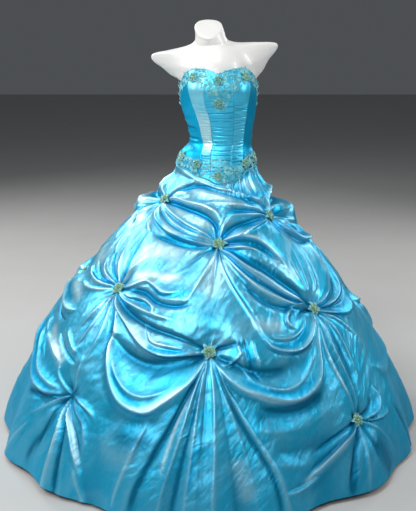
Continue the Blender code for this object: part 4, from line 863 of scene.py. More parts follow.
def lay_fold(grid, fold, line, share_of_grid):
    out, above, below, lean, ends, _ = fold
    spots, gap, share, side, toward = near_route(grid, line, 3.0 * max(above, below) * MM)
    if not len(spots[0]):
        return
    tall, wide = end_shapes(ends, share)
    spread = np.where(side >= 0, above, below) * MM * wide
    part = share_of_grid[spots] * tall * MM
    # a narrow fold has a crisp crest, a broad one a rounder back
    narrow = max(above, below) <= CRISP_UNDER
    if out > 0:
        sharpness = np.where(side >= 0, 1.25 if narrow else 1.7, 1.25)
    else:
        sharpness = 1.3 if narrow else 1.9
    body = out * part * np.exp(-(gap / spread) ** sharpness)
    grid["out"][spots] += body
    if lean:
        grid["side"][spots] -= lean * body * toward[0]
        grid["rise"][spots] -= lean * body * toward[1]
        # under the crest the cloth tucks back in, and it is shaded there
        under = below * MM * wide
        tuck = 0.16 * out * part * bell((gap - 2.1 * under) / under)
        grid["out"][spots] -= np.where(side < 0, tuck, 0.0)
        shadow = tall * bell((gap - 1.6 * under) / (1.3 * under))
        grid["deep"][spots] += np.where(side < 0, 0.5 * lean * shadow, 0.0) * share_of_grid[spots]
    elif out < 0:
        # a groove gets painted shade
        grid["deep"][spots] += 0.45 * min(1.0, -out / 12.0) * tall * bell(gap / spread) * share_of_grid[spots]


def lay_tone(values, grid, strength, width, line, share_of_grid):
    spots, gap, share, _, _ = near_route(grid, line, 3.0 * width * MM)
    values[spots] += strength * end_shapes("free", share)[0] * bell(gap / (width * MM)) * share_of_grid[spots]


def to_back(line):
    """A front fold's line carried to the back, drawn onto the pick-ups there."""
    places = {name: np.array([angle, arc_of(height)]) for name, angle, height, _ in PICKUPS}
    moved = line.copy()
    moved[:, 0] = line[:, 0] + BACK_TURN
    pull, weight = np.zeros(line.shape), np.full(len(line), 0.02)
    for front, back in PARTNERS.items():
        across = turn_between(line[:, 0], places[front][0]) / 16.0
        gap = np.hypot(across, (line[:, 1] - places[front][1]) / 0.07)
        share = bell(gap)
        shift = places[back] - places[front]
        shift[0] = turn_between(places[back][0], places[front][0] + BACK_TURN)
        pull += share[:, None] * shift
        weight += share
    return moved + pull / weight[:, None]


def softened(values, cells):
    """The values evened out over a few cells each way."""
    steps = np.arange(-3 * cells, 3 * cells + 1)
    weights = np.exp(-0.5 * (steps / cells) ** 2)
    weights /= weights.sum()
    for axis in (0, 1):
        padding = [(0, 0), (0, 0)]
        padding[axis] = (3 * cells, 3 * cells)
        padded = np.pad(values, padding, mode="reflect", reflect_type="odd")
        values = np.apply_along_axis(lambda line: np.convolve(line, weights, "valid"), axis, padded)
    return values


def from_place(grid, angle, height):
    """How far each grid point lies from a place, in metres round and up the skirt."""
    return np.radians(turn_between(grid["angle"], angle)) * grid["radius"], grid["arc"] - arc_of(height)


def star(grid, angle, height, seed):
    """Small creases that run out from a pick-up on all sides."""
    rng = random.Random(seed)
    across, up = from_place(grid, angle, height)
    spots = np.nonzero((np.abs(across) < STAR_REACH) & (np.abs(up) < STAR_REACH))
    across, up = across[spots], up[spots]
    reach = np.hypot(across, up) + 1e-6
    bearing = np.degrees(np.arctan2(up, across))
    total = np.zeros(reach.shape)
    count = rng.randint(12, 15)
    for index in range(count):
        direction = 360.0 * (index + rng.uniform(-0.3, 0.3)) / count
        length = rng.uniform(0.030, 0.080)
        tall = rng.uniform(2.2, 4.6) * MM * (1 if index % 2 else -0.7)
        width = np.degrees((2.2 * MM + 0.085 * reach) / reach)
        total += tall * bell(turn_between(bearing, direction) / width) * bell(reach / length)
    total *= smooth(reach / 0.016)
    grid["out"][spots] += total
    # painted shade round the middle of the pick-up
    grid["deep"][spots] += 0.5 * bell(reach / 0.022)


def rumple(grid, seed, lowest, highest, tall, waves, first_bearing, last_bearing):
    """Gentle unevenness: many long soft waves, with bearings in one range."""
    rng = random.Random(seed)
    total = np.zeros(grid["angle"].shape)
    for _ in range(waves):
        length = rng.uniform(lowest, highest)
        bearing = rng.uniform(first_bearing, last_bearing)
        # a whole number of waves goes round, so the back's seam doesn't show
        around = round(2.0 * math.pi * MIDDLE_RADIUS * math.cos(bearing) / length)
        along = 2.0 * math.pi * math.sin(bearing) / length
        total += np.cos(np.radians(around * grid["angle"]) + along * grid["arc"] + rng.uniform(0.0, 6.28))
    return tall * total / math.sqrt(waves)


def gore_grid(first, last, cells):
    """A gore's cloth before any fold, from one seam's angle to the other's and from the hem to the bodice."""
    columns = np.linspace(first, last, cells[0] + 1)
    edge_face = bodice_face(columns, curve(BASQUE, columns))
    edge = edge_face[:, 2] - EDGE_TUCK
    hem_wave = 0.004 * np.cos(np.radians(9 * columns + 50)) + 0.003 * np.cos(np.radians(14 * columns))
    low, high = arc_of(HEM_HEIGHT + HEM_ROOM + hem_wave), arc_of(edge)
    share = np.linspace(0.0, 1.0, cells[1] + 1)
    arc = mix(low[None, :], high[None, :], share[:, None])
    height = height_of(arc)
    angle = np.broadcast_to(columns, arc.shape).copy()
    grid = {"angle": angle, "height": height, "arc": arc, "edge_face": edge_face,
            "radius": np.maximum(curve(SKIRT_SECTIONS, height, 1), 0.1), "from_edge": edge[None, :] - height,
            # 0 towards the window and 1 away from it
            "away": 0.5 - 0.5 * np.cos(np.radians(angle - WINDOW_ANGLE))}
    for name in ("out", "side", "rise", "glow", "deep", "pale"):
        grid[name] = np.zeros(arc.shape)
    grid["waist"] = lambda rise, lift: bodice_point(columns, edge + rise, np.full(columns.shape, lift))
    return grid


def lay_folds(grid):
    """Lays the folds and their painted highlights, glow and shade, with the front's turned round for the back
    and blended at the sides.
    """
    back = smooth((np.abs(grid["angle"]) - SIDE_BLEND_START) / SIDE_BLEND_WIDTH)
    for fold in FOLDS:
        line = flowing(fold[5])
        lay_fold(grid, fold, line, 1.0 - back)
        lay_fold(grid, fold, to_back(line), back)
    for name, table in (("pale", PAINTED_HIGHLIGHTS), ("glow", PAINTED_GLOWS), ("deep", SHADES)):
        for strength, width, route in table:
            line = flowing(route)
            lay_tone(grid[name], grid, strength, width, line, 1.0 - back)
            lay_tone(grid[name], grid, strength, width, to_back(line), back)
    # painted shade low down, darker on the side away from the window
    grid["deep"] += (0.08 + 0.46 * np.sqrt(grid["away"])) * smooth((0.36 - grid["height"]) / 0.26)


def lay_pickups(grid):
    """Draws the cloth in at each pick-up, and puffs it out beside some of them."""
    depth = PICKUP_DEPTH * np.minimum(1.0, grid["radius"] / PICKUP_FULL_RADIUS)
    for seed, (_, angle, height, _) in enumerate(PICKUPS):
        reach = np.hypot(*from_place(grid, angle, height)) / PICKUP_REACH
        grid["out"] -= depth * bell(reach)
        star(grid, angle, height, 40 + seed)
    for angle, height, out, spread_angle, spread_height in PUFFS:
        across = turn_between(grid["angle"], angle) / spread_angle
        up = (grid["height"] - height) / spread_height
        grid["out"] += out * np.exp(-across * across - up * up)


def lay_gathers(grid):
    """Gathers that fan out from the waist, and the waves of the hem."""
    angle, height = grid["angle"], grid["height"]
    # across the front left the cloth is drawn over, and right of the centre the gathers are short
    drawn = smooth((angle + 95.0) / 20.0) * smooth((21.0 - angle) / 9.0)
    short = smooth((angle - 5.0) / 10.0) * smooth((70.0 - angle) / 15.0) \
        * smooth((0.893 - 0.0004 * angle - height) / 0.04)
    gathers = smooth((height - 0.80) / 0.10) * (1.0 - 0.97 * drawn) * mix(1.0, 0.15, short)
    # 34 and 61 gathers go round, and 17 and 7 waves of the hem, all unevenly spaced
    uneven = 24.0 * np.sin(np.radians(4 * angle)) + 30.0 * np.sin(np.radians(7 * angle + 30))
    grid["out"] += 0.0032 * gathers * np.cos(np.radians(34 * angle + uneven))
    grid["out"] += 0.0022 * gathers * np.cos(np.radians(61 * angle - 2 * uneven))
    waves = smooth((0.42 - height) / 0.42)
    drift = 40.0 * np.sin(np.radians(3 * angle + 40)) + 25.0 * np.sin(np.radians(5 * angle))
    grid["out"] += 0.013 * waves * np.cos(np.radians(17 * angle + drift))
    grid["out"] += 0.009 * waves * np.cos(np.radians(7 * angle - drift))


def lay_rumples(grid):
    """Rumples the cloth between the folds; where a fold draws it tight it stays smooth."""
    ease = smooth(grid["from_edge"] / EDGE_EASE)
    for name in ("out", "side", "rise"):
        grid[name] *= ease
    folds = grid["out"]
    tight = (folds - softened(folds, TIGHT_CELLS)) / TIGHT_RELIEF
    rumples = sum(rumple(grid, *row) for row in RUMPLES)
    uneven = folds + rumples * ease * np.minimum(grid["radius"] / 0.45, 1.0) ** 1.6 / (1.0 + tight * tight)
    # near the waist the cloth lies on the form and can't sink into it
    grid["out"] = np.maximum(uneven, -0.0015 - 0.28 * np.maximum(grid["from_edge"], 0.0))
    grid["folds"] = folds


def lay_light(grid):
    """Painted tones of the crests and grooves: crests catch the light and get painted highlights, and grooves
    take colour from their sides as painted glow, with painted shade.
    """
    away, folds = grid["away"], grid["folds"]
    # higher up the painted highlights and glow are stronger and the painted shade lighter; towards the window
    # the crests' painted highlights are stronger
    bright = smooth((grid["height"] - 0.30) / 0.45)
    lit = 1.10 - 0.80 * away
    for cells, least, crest, groove in RELIEFS:
        above = folds - softened(folds, cells)
        grid["pale"] += (0.19 + 0.27 * bright) * lit * np.clip((above - least) / crest, 0.0, 1.0)
        sunk = np.clip((-above - least) / groove, 0.0, 1.0)
        grid["glow"] += 0.60 * bright * sunk
        grid["deep"] += (0.40 - 0.22 * bright) * sunk
    # painted highlight over the broad upper front left, where the floats lie towards the light
    grid["pale"] += 0.26 * bright * (1.0 - away) ** 4
    # high up, where more light comes in, part of a pocket's painted shade becomes painted glow of the cloth's
    # own full colour
    deep = np.clip(grid["deep"], 0.0, 1.0)
    grid["glow"] += 0.70 * bright * deep
    grid["deep"] = deep * (1.0 - 0.46 * bright)


def place_cloth(grid):
    """Puts the cloth round the body and moves it by its folds."""
    turn, height, edge_face = np.radians(grid["angle"]), grid["height"], grid["edge_face"]
    section, middle, depth = (curve(SKIRT_SECTIONS, height, column) for column in (1, 2, 3))
    flare = smooth(grid["from_edge"] / FLARE_REACH)
    x = mix(edge_face[None, :, 0], middle + section * np.sin(turn), flare)
    y = mix(edge_face[None, :, 1], -section * depth * np.cos(turn), flare)
    place = np.stack([x, y, height], -1)
    around, upward = unit(np.gradient(place, axis=1)), unit(np.gradient(place, axis=0))
    grid["normal"] = unit(np.cross(around, upward))
    place = place + grid["normal"] * grid["out"][..., None] + around * grid["side"][..., None] \
        + upward * grid["rise"][..., None]
    # the hem stays off the floor and level with its own cut
    place[..., 2] = np.maximum(place[..., 2], HEM_HEIGHT)
    grid["place"] = place


def skirt_grid(first, last, cells):
    grid = gore_grid(first, last, cells)
    for step in (lay_folds, lay_pickups, lay_gathers, lay_rumples, lay_light, place_cloth):
        step(grid)
    return grid


GORES = (("skirt_back_left", -180.0, -90.0, BACK_CELLS), ("skirt_front_left", -90.0, 0.0, FRONT_CELLS),
         ("skirt_front_right", 0.0, 90.0, FRONT_CELLS), ("skirt_back_right", 90.0, 180.0, BACK_CELLS))


def hemmed(values, rows):
    """A grid's values with the rows of its turned hem put before it and its seam allowance after it."""
    return np.concatenate([values[rows], values, values[-1:], values[-1:]])


def build_skirt():
    grids, pieces = [], {}
    for name, first, last, cells in GORES:
        grid = skirt_grid(first, last, cells)
        place, normal = grid["place"].copy(), grid["normal"]
        # the gores meet edge to edge in a fine line
        for column, towards in ((0, 1), (-1, -2)):
            place[:, column] += unit(place[:, towards] - place[:, column]) * GORE_GAP
        # the hem turns in and up; at the waist a seam allowance passes under the bodice
        step = float(np.mean(grid["arc"][1] - grid["arc"][0]))
        turned = [max(1, round(HEM_TURN * share / step)) for share in (1.0, 0.5, 0.15)] + [0]
        away = np.array([1.2, 1.2, 1.1, 0.6])[:, None, None] * SKIRT_THICKNESS
        hem = place[turned] - normal[turned] * away
        allowance = [grid["waist"](0.0004, -0.0028), grid["waist"](0.0090, -0.0034)]
        cloth = np.concatenate([hem, place, allowance])
        obj = new_object("satin_" + name, cloth.reshape(-1, 3), grid_faces(*cloth.shape[:2]), [SATIN_SKIRT])
        arc = hemmed(grid["arc"], turned)
        arc[:4] = 2.0 * grid["arc"][:1] - arc[:4]
        arc[-2:] += np.array([[0.002], [0.010]])
        widths = 0.22 + 0.56 * hemmed(grid["radius"], turned)
        cloth_uv(obj, np.radians(hemmed(grid["angle"], turned)) * widths, arc)
        # the painted highlight, painted glow and painted shade go on the points
        for tone in ("pale", "glow", "deep"):
            point_value(obj, tone, np.clip(hemmed(grid[tone], turned), 0.0, 1.0))
        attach(obj, "root")
        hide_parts(name)
        grids.append(grid)
        pieces[name] = obj
    return grids, pieces


# ---- the bodice ----
# Panels: name, left seam, right seam, cells across and up, ruche spacing in mm (0 is smooth), seed.
PANELS = (
    ("bodice_back_left", -180.0, -SIDE_BACK, 40, 80, 0.0, 1),
    ("bodice_side_left", -SIDE_BACK, SEAM_OUTER_LEFT, 48, 90, 0.0, 2),
    ("bodice_side_front_left", SEAM_OUTER_LEFT, SEAM_INNER_LEFT, 22, 220, 8.5, 3),
    ("bodice_front_centre", SEAM_INNER_LEFT, SEAM_INNER_RIGHT, 30, 230, 17.0, 4),
    ("bodice_side_front_right", SEAM_INNER_RIGHT, SEAM_OUTER_RIGHT, 22, 220, 9.5, 5),
    ("bodice_side_right", SEAM_OUTER_RIGHT, SIDE_BACK, 48, 90, 0.0, 6),
    ("bodice_back_right", SIDE_BACK, 180.0, 40, 80, 0.0, 7),
)
# Soft pulls across the side panels at the waist: angle, height, angle, height, depth in mm, width in mm.
PULLS = (
    (-92, 1.105, -46, 1.116, 3.0, 6), (-94, 1.088, -46, 1.084, -2.4, 4), (-96, 1.068, -44, 1.070, 3.0, 6),
    (-98, 1.050, -42, 1.048, -2.4, 4), (-98, 1.040, -40, 1.036, 3.0, 5), (-100, 1.024, -38, 1.018, -2.2, 4),
    (-100, 1.012, -38, 1.003, 2.0, 6), (-85, 1.140, -66, 1.110, 2.0, 5),
    (98, 1.060, 52, 1.040, 1.6, 6), (98, 1.040, 60, 1.060, 1.4, 6),
    (112, 1.060, 165, 1.045, 1.8, 7), (110, 1.035, 168, 1.050, 1.6, 7),
    (-112, 1.060, -165, 1.045, 1.8, 7), (-110, 1.035, -168, 1.050, 1.6, 7),
)
RUCHED_FROM, RUCHED_TO = 0.918, 1.205   # heights between which the front panels are drawn up
WIDE_RUCHE = 12.0      # ruches wider than this in mm have short creases between the long ones
PULL_DEGREE = 0.0019   # metres round the waist in one degree
SEAM_GAP = 0.015       # degrees between a panel and its seam
# Painted light and shade by panel: a painted glow that deepens the colour, a painted highlight, and painted
# shade.
PAINTED_GLOW_PANELS = {"bodice_front_centre": 0.35, "bodice_side_front_right": 0.35}
PAINTED_HIGHLIGHT_PANELS = {"bodice_side_front_left": 1.00, "bodice_side_front_right": 0.10}
SHADED_PANELS = {"bodice_side_right": 0.40, "bodice_side_left": 0.10}


def panel_places(left, right, columns, rows):
    even = np.linspace(0.0, 1.0, columns + 1)[None, :]
    across = mix(even, 0.5 - 0.5 * np.cos(np.pi * even), 0.7)
    up = np.linspace(0.0, 1.0, rows + 1)[:, None]
    low = mix(seam_angle(left, np.array(SEAM_LOW)), seam_angle(right, np.array(SEAM_LOW)), across)
    high = mix(seam_angle(left, np.array(SEAM_HIGH)), seam_angle(right, np.array(SEAM_HIGH)), across)
    height = mix(curve(BASQUE, low), curve(NECKLINE, high), up)
    angle = mix(seam_angle(left, height), seam_angle(right, height), across)
    return across, up, angle, height


def ruching(height, across, spacing, seed):
    """Pillows of cloth between creases that are pulled across a front panel and caught in its seams."""
    rng = random.Random(seed)
    sunk = np.zeros(height.shape)
    place = RUCHED_FROM
    while place < RUCHED_TO:
        creases = [(-0.3, 1.3, 0.0, rng.uniform(0.9, 1.3))]
        if spacing > WIDE_RUCHE:
            for start, end in ((-0.3, rng.uniform(0.18, 0.42)), (rng.uniform(0.58, 0.85), 1.3)):
                creases.append((start, end, rng.uniform(0.35, 0.65) * spacing * MM, rng.uniform(0.5, 1.0)))
        elif rng.random() < 0.35:
            creases[0] = (-0.3, rng.uniform(0.5, 0.8), 0.0, 1.0) if rng.random() < 0.5 \
                else (rng.uniform(0.2, 0.5), 1.3, 0.0, 1.0)
        tilt = rng.uniform(-3.0, 3.0) * MM
        bow = rng.uniform(-2.0, 3.5) * MM
        for start, end, shift, depth in creases:
            middle = place + shift + tilt * (across - 0.5) - bow * np.sin(np.pi * across)
            reach = smooth((across - start) / 0.25) * smooth((end - across) / 0.25)
            gap = np.abs(height - middle) / ((1.1 + 0.055 * spacing) * MM)
            sunk = np.maximum(sunk, depth * reach * np.exp(-gap ** 1.4))
        place += spacing * MM * rng.uniform(0.72, 1.22)
    tall = (1.1 + 0.045 * spacing) * MM
    full = smooth((height - 0.925) / 0.03) * smooth((1.200 - height) / 0.045)
    return tall * full * (1.0 - sunk)


def pulls(angle, height):
    total = np.zeros(height.shape)
    for first_angle, first_height, last_angle, last_height, tall, width in PULLS:
        ax = (angle - first_angle) * PULL_DEGREE
        ay = height - first_height
        dx = (last_angle - first_angle) * PULL_DEGREE
        dy = last_height - first_height
        t = np.clip((ax * dx + ay * dy) / (dx * dx + dy * dy), 0.0, 1.0)
        gap = np.hypot(ax - t * dx, ay - t * dy)
        total += tall * MM * np.sin(np.pi * t) ** 0.6 * bell(gap / (width * MM))
    return total


def seam_relief(lift, gap):
    """Boning: a casing stands up beside a seam, and the seam itself sinks in."""
    lift = lift * mix(0.45, 1.0, smooth((gap - 0.001) / 0.006))
    return lift + 0.0004 * bell((gap - 0.0032) / 0.0022) - 0.0002 * bell(gap / 0.0014)


def panel_tones(obj, name, ruched, lift, height):
    # Painted highlight, painted glow and painted shade of a panel.
    pale = PAINTED_HIGHLIGHT_PANELS.get(name, 0.0)
    if ruched:
        hollow = np.clip(1.0 - lift / 0.0010, 0.0, 1.0) * smooth((height - 0.93) / 0.03) \
            * smooth((1.19 - height) / 0.04)
        # painted shade in the hollows between the ruches and in the folds drawn in at the waist
        deep = (0.80 - 0.45 * pale) * hollow + (0.22 + 0.28 * pale) * smooth((1.020 - height) / 0.03)
    else:
        # a smooth panel is shaded in its pulls and where it spreads over the hip
        deep = 0.6 * np.clip(-lift / 0.0020, 0.0, 1.0) + 0.35 * smooth((1.010 - height) / 0.03)
    # the painted highlight fades to about a third higher up and is gone at the waist
    paler = mix(1.0, 0.35, smooth((height - 1.10) / 0.06)) * (1.0 - smooth((1.022 - height) / 0.03))
    point_value(obj, "deep", deep + SHADED_PANELS.get(name, 0.0))
    point_value(obj, "glow", np.full(height.shape, PAINTED_GLOW_PANELS.get(name, 0.0)))
    point_value(obj, "pale", pale * paler)


def build_bodice():
    pieces = {}
    for name, left, right, columns, rows, spacing, seed in PANELS:
        ruched = spacing > 0.0
        across, up, angle, height = panel_places(left, right, columns, rows)
        lift = ruching(height, across, spacing, seed) if ruched else pulls(angle, height)
        width = np.linalg.norm(bodice_face(angle[:, -1:], height[:, -1:])
                               - bodice_face(angle[:, :1], height[:, :1]), axis=-1)
        for gap in (across * width, (1.0 - across) * width):
            lift = seam_relief(lift, gap)
        lift = lift * mix(0.3, 1.0, smooth(up / 0.02) * smooth((1.0 - up) / 0.02))
        # each panel stops a little before its seam
        trim = np.zeros(angle.shape)
        trim[:, 0], trim[:, -1] = SEAM_GAP, -SEAM_GAP
        place = bodice_point(angle + trim, height, lift)
        obj = new_object("satin_" + name, place.reshape(-1, 3), grid_faces(*place.shape[:2]),
                         [SATIN_FRONT if ruched else SATIN_SIDE])
        cloth_uv(obj, np.radians(angle) * 0.11, height)
        panel_tones(obj, name, ruched, lift, height)
        thicken(obj, 0.0014)
        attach(obj, "root")
        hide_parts(name)
        pieces[name] = obj
    return pieces


# ---- lace ----
# How deep the lace is, down from the neckline or up from the hip edge: angle and depth.
NECK_DEPTH = ((-103, 0.050), (-85, 0.030), (-60, 0.045), (-44, 0.030), (-30, 0.046), (-20, 0.060),
              (-10, 0.098), (0, 0.125), (8, 0.130), (16, 0.085), (30, 0.062), (44, 0.040), (60, 0.045),
              (85, 0.030), (103, 0.050))
HIP_DEPTH = ((-180, 0.030), (-110, 0.030), (-80, 0.042), (-50, 0.040), (-25, 0.050), (-8, 0.062),
             (4, 0.082), (16, 0.066), (30, 0.044), (50, 0.046), (80, 0.042), (110, 0.030), (180, 0.030))
# Pieces of lace: name, first and last angle, and the edge that it is sewn along.
LACE_PIECES = (
    ("lace_neckline_left", -103.0, -21.0, "neck"), ("lace_neckline_centre", -21.0, 20.0, "neck"),
    ("lace_neckline_right", 20.0, 103.0, "neck"), ("lace_hip_left", -103.0, -21.0, "hip"),
    ("lace_hip_centre", -21.0, 36.0, "hip"), ("lace_hip_right", 36.0, 103.0, "hip"),
    ("lace_hip_back_left", -179.8, -103.0, "hip"), ("lace_hip_back_right", 103.0, 179.8, "hip"),
)
# Beaded flowers: name, angle and height.
FLOWERS = (
    ("flower_bust_left", -40, 1.252), ("flower_bust_middle", 0, 1.245), ("flower_bust_right", 42, 1.256),
    ("flower_bust_lower", 0, 1.170), ("flower_hip_left_side", -64, 0.985), ("flower_hip_left", -29, 0.968),
    ("flower_hip_point", 3, 0.932), ("flower_hip_right", 44, 0.968), ("flower_hip_right_side", 70, 0.975),
)
LACE_TRIES = 900
SPRIG_ROOM, FLOWER_ROOM = 0.0098, 0.015   # between two sprigs of lace, and from a sprig to a flower
# The materials of a lace piece and of a beaded piece, by their place in its list.
THREAD, PEARL, COUCHED = 0, 1, 2
BEAD, CLEAR, RIBBON = 0, 1, 2
UP = np.array([0.0, 0.0, 1.0])


def on_bodice(angle, height, turn, points, lift):
    """Points of a flat motif, in metres right and up, laid on the bodice round one place."""
    points = np.asarray(points, float)
    cosine, sine = math.cos(turn), math.sin(turn)
    right = points[..., 0] * cosine - points[..., 1] * sine
    up = points[..., 0] * sine + points[..., 1] * cosine
    here, there = bodice_face(angle, height), bodice_face(angle + 1.0, height)
    per_degree = float(np.linalg.norm(there - here))
    return bodice_point(angle + right / per_degree, height + up, lift)


class Pile:
    """Collects the vertices and faces of many small forms for one piece."""

    def __init__(self):
        self.verts, self.faces, self.kinds, self.count = [], [], [], 0

    def add(self, verts, faces, kind):
        verts = np.asarray(verts, float).reshape(-1, 3)
        self.verts.append(verts)
        for face in faces:
            self.faces.append([int(v) + self.count for v in face])
            self.kinds.append(kind)
        self.count += len(verts)

    def make(self, name, materials):
        return new_object(name, np.vstack(self.verts), self.faces, materials, self.kinds)


def add_leaf(pile, angle, height, turn, length, width, lift=0.0007, stand=0.0):
    """Pointed leaf of satin stitch: a low dome with a sunk vein, closed underneath."""
    rows, columns = 9, 5
    t = np.linspace(0.0, 1.0, rows)[:, None]
    v = np.linspace(-1.0, 1.0, columns)[None, :]
    half = 0.5 * width * np.sin(np.pi * t ** 0.85) ** 0.8 + 0.0003
    x = half * v + 0.10 * length * np.sin(np.pi * t)
    y = length * (t - 0.1) + 0.0 * v
    dome = 0.0013 * (1.0 - v * v) * np.sin(np.pi * np.clip(t, 0.05, 0.95)) - 0.0006 * bell(v / 0.25)
    tip = stand * t ** 1.5
    points = np.stack([x, y], -1)
    top = on_bodice(angle, height, turn, points, lift + 0.0005 + dome + tip)
    bottom = on_bodice(angle, height, turn, points, lift - 0.0004 + tip + 0.0 * v)
    pile.add(np.vstack([top.reshape(-1, 3), bottom.reshape(-1, 3)]), pad_faces(rows, columns), THREAD)


def add_tube(pile, line, out, radius, closed=False):
    """A fine round cord along points on the cloth; out is a direction that it never runs in."""
    count, sides = len(line), 5
    ahead = np.roll(line, -1, 0) - np.roll(line, 1, 0)
    if not closed:
        ahead[0], ahead[-1] = line[1] - line[0], line[-1] - line[-2]
    ahead = unit(ahead)
    side = unit(np.cross(ahead, out))
    over = np.cross(side, ahead)
    turns = 2.0 * np.pi * np.arange(sides) / sides
    ring = line[:, None] + radius * (np.cos(turns)[None, :, None] * side[:, None]
                                     + np.sin(turns)[None, :, None] * over[:, None])
    faces = []
    for row in range(count if closed else count - 1):
        here, there = row * sides, (row + 1) % count * sides
        for spoke in range(sides):
            other = (spoke + 1) % sides
            faces.append([here + spoke, here + other, there + other, there + spoke])
    if not closed:
        faces.append(list(range(sides))[::-1])
        faces.append([(count - 1) * sides + spoke for spoke in range(sides)])
    pile.add(ring, faces, COUCHED)


def add_cord(pile, angle, height, turn, points, radius=0.0008, lift=0.0014, closed=False):
    """Couched cord that follows a drawn line round one place on the bodice."""
    line = on_bodice(angle, height, turn, points, np.full(len(points), lift))
    add_tube(pile, line, bodice_normal(angle, height), radius, closed)


def leaf_outline(length, width):
    t = np.linspace(0.0, 1.0, 10)
    half = 0.5 * width * np.sin(np.pi * t ** 0.85) ** 0.8 + 0.0004
    middle = 0.10 * length * np.sin(np.pi * t)
    right = np.stack([middle + half, length * (t - 0.1)], -1)
    left = np.stack([middle - half, length * (t - 0.1)], -1)[::-1]
    return np.vstack([right, left[1:-1]])


def scroll(size, turns, hand):
    t = np.linspace(0.0, 1.0, 20)
    reach = size * (1.0 - 0.82 * t)
    bearing = hand * 2.0 * math.pi * turns * t
    return np.stack([reach * np.cos(bearing), reach * np.sin(bearing)], -1)


def lace_room(angle, edge):
    """Lowest and highest place of the lace at an angle."""
    if edge == "neck":
        top = float(curve(NECKLINE, angle)) - 0.001
        return top - float(curve(NECK_DEPTH, angle)), top
    low = float(curve(BASQUE, angle)) + 0.001
    return low, low + float(curve(HIP_DEPTH, angle))


def add_bead(pile, centre, radius, kind):
    pile.add(BEAD_VERTS * radius + np.asarray(centre), BEAD_FACES, kind)


def build_bead():
    bpy.ops.mesh.primitive_ico_sphere_add(subdivisions=1, radius=1.0)
    ball = bpy.context.object
    verts = np.array([v.co[:] for v in ball.data.vertices])
    faces = [tuple(p.vertices) for p in ball.data.polygons]
    bpy.data.objects.remove(ball, do_unlink=True)
    return verts, faces


BEAD_VERTS, BEAD_FACES = build_bead()


def lay_sprig(pile, rng, angle, height, edge):
    """One leaf, scroll or small flower, and beside every second one a clear bead."""
    low, high = lace_room(angle, edge)
    kind = rng.random()
    turn = rng.uniform(0.0, 2.0 * math.pi)
    # more than half of them point away from the sewn edge
    if rng.random() < 0.6:
        turn = math.pi * (0.75 + 0.5 * rng.random() if edge == "neck" else -0.30 + 0.60 * rng.random())
    if kind < 0.56:
        length = min(rng.uniform(0.013, 0.019), min(high - height, height - low) + 0.012)
        width = length * rng.uniform(0.42, 0.58)
        # worked solid, or an open net leaf with only its vein inside
        if rng.random() < 0.66:
            add_leaf(pile, angle, height, turn, length * 0.8, width * 0.7)
        else:
            vein = np.linspace(-0.05, 0.75, 6) * length
            add_cord(pile, angle, height, turn, np.stack([0.0005 + 0.0 * vein, vein], -1), 0.0006)
        add_cord(pile, angle, height, turn, leaf_outline(length, width), 0.0008, 0.0013, True)
    elif kind < 0.84:
        size, turns, hand = rng.uniform(0.006, 0.009), rng.uniform(1.0, 1.5), rng.choice((-1, 1))
        add_cord(pile, angle, height, turn, scroll(size, turns, hand))
        add_leaf(pile, angle, height, turn + 2.0, 0.010, 0.0055)
    else:
        for petal in range(5):
            add_leaf(pile, angle, height, turn + 2.0 * math.pi * petal / 5.0, 0.0095, 0.0062)
        add_bead(pile, bodice_point(angle, height, 0.0026), 0.0019, PEARL)
    if rng.random() < 0.5:
        add_bead(pile, on_bodice(angle, height, turn, [0.006, 0.004], 0.0016), 0.0012, PEARL)


def lay_edges(pile, start, end, edge):
    """A scalloped cord along the lace's free edge, and a plain one along its sewn edge."""
    angles = np.linspace(start + 0.5, end - 0.5, int((end - start) * 1.6))
    low, high = np.array([lace_room(angle, edge) for angle in angles]).T
    bumps = 0.0035 * np.abs(np.sin(np.radians(angles * 22.0)))
    lines = (low + bumps, high - 0.0010) if edge == "neck" else (high - bumps, low + 0.0010)
    for heights in lines:
        add_tube(pile, bodice_point(angles, heights, np.full(len(angles), 0.0012)), UP, 0.0009)


def lay_side_spray(pile, side):
    """Leaves that stand up from the end of the neckline's lace, under the arm."""
    for index in range(9):
        add_leaf(pile, side * (95 + (index % 3) * 4), 1.155 + 0.0085 * index,
                 side * (-1.2 + 0.3 * (index % 4)), 0.020, 0.010, 0.001, 0.010)


def build_lace():
    rng = random.Random(11)
    for name, start, end, edge in LACE_PIECES:
        pile, placed = Pile(), []
        for _ in range(LACE_TRIES):
            angle = rng.uniform(start + 1.5, end - 1.5)
            low, high = lace_room(angle, edge)
            height = rng.uniform(low + 0.006, high - 0.005)
            spot = bodice_face(angle, height)
            if any(np.linalg.norm(spot - other) < SPRIG_ROOM for other in placed):
                continue
            if any(np.linalg.norm(spot - bodice_face(a, h)) < FLOWER_ROOM for _, a, h in FLOWERS):
                continue
            placed.append(spot)
            lay_sprig(pile, rng, angle, height, edge)
        lay_edges(pile, start, end, edge)
        if name in ("lace_neckline_left", "lace_neckline_right"):
            lay_side_spray(pile, -1 if "left" in name else 1)
        obj = pile.make("corded_" + name, [LACE, PEARLS, CORD])
        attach(obj, "root")
        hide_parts(name)


# ---- beaded flowers and rosettes ----
def frame_at(normal):
    """Directions sideways, upwards and out from the cloth."""
    normal = unit(np.asarray(normal, float))
    side = unit(np.cross(UP, normal))
    return side, np.cross(normal, side), normal


def round_place(centre, axes, turn, reach, level):
    """A place at a bearing and a distance round a centre, and at a level over the cloth."""
    return centre + (axes[0] * math.cos(turn) + axes[1] * math.sin(turn)) * reach + axes[2] * level


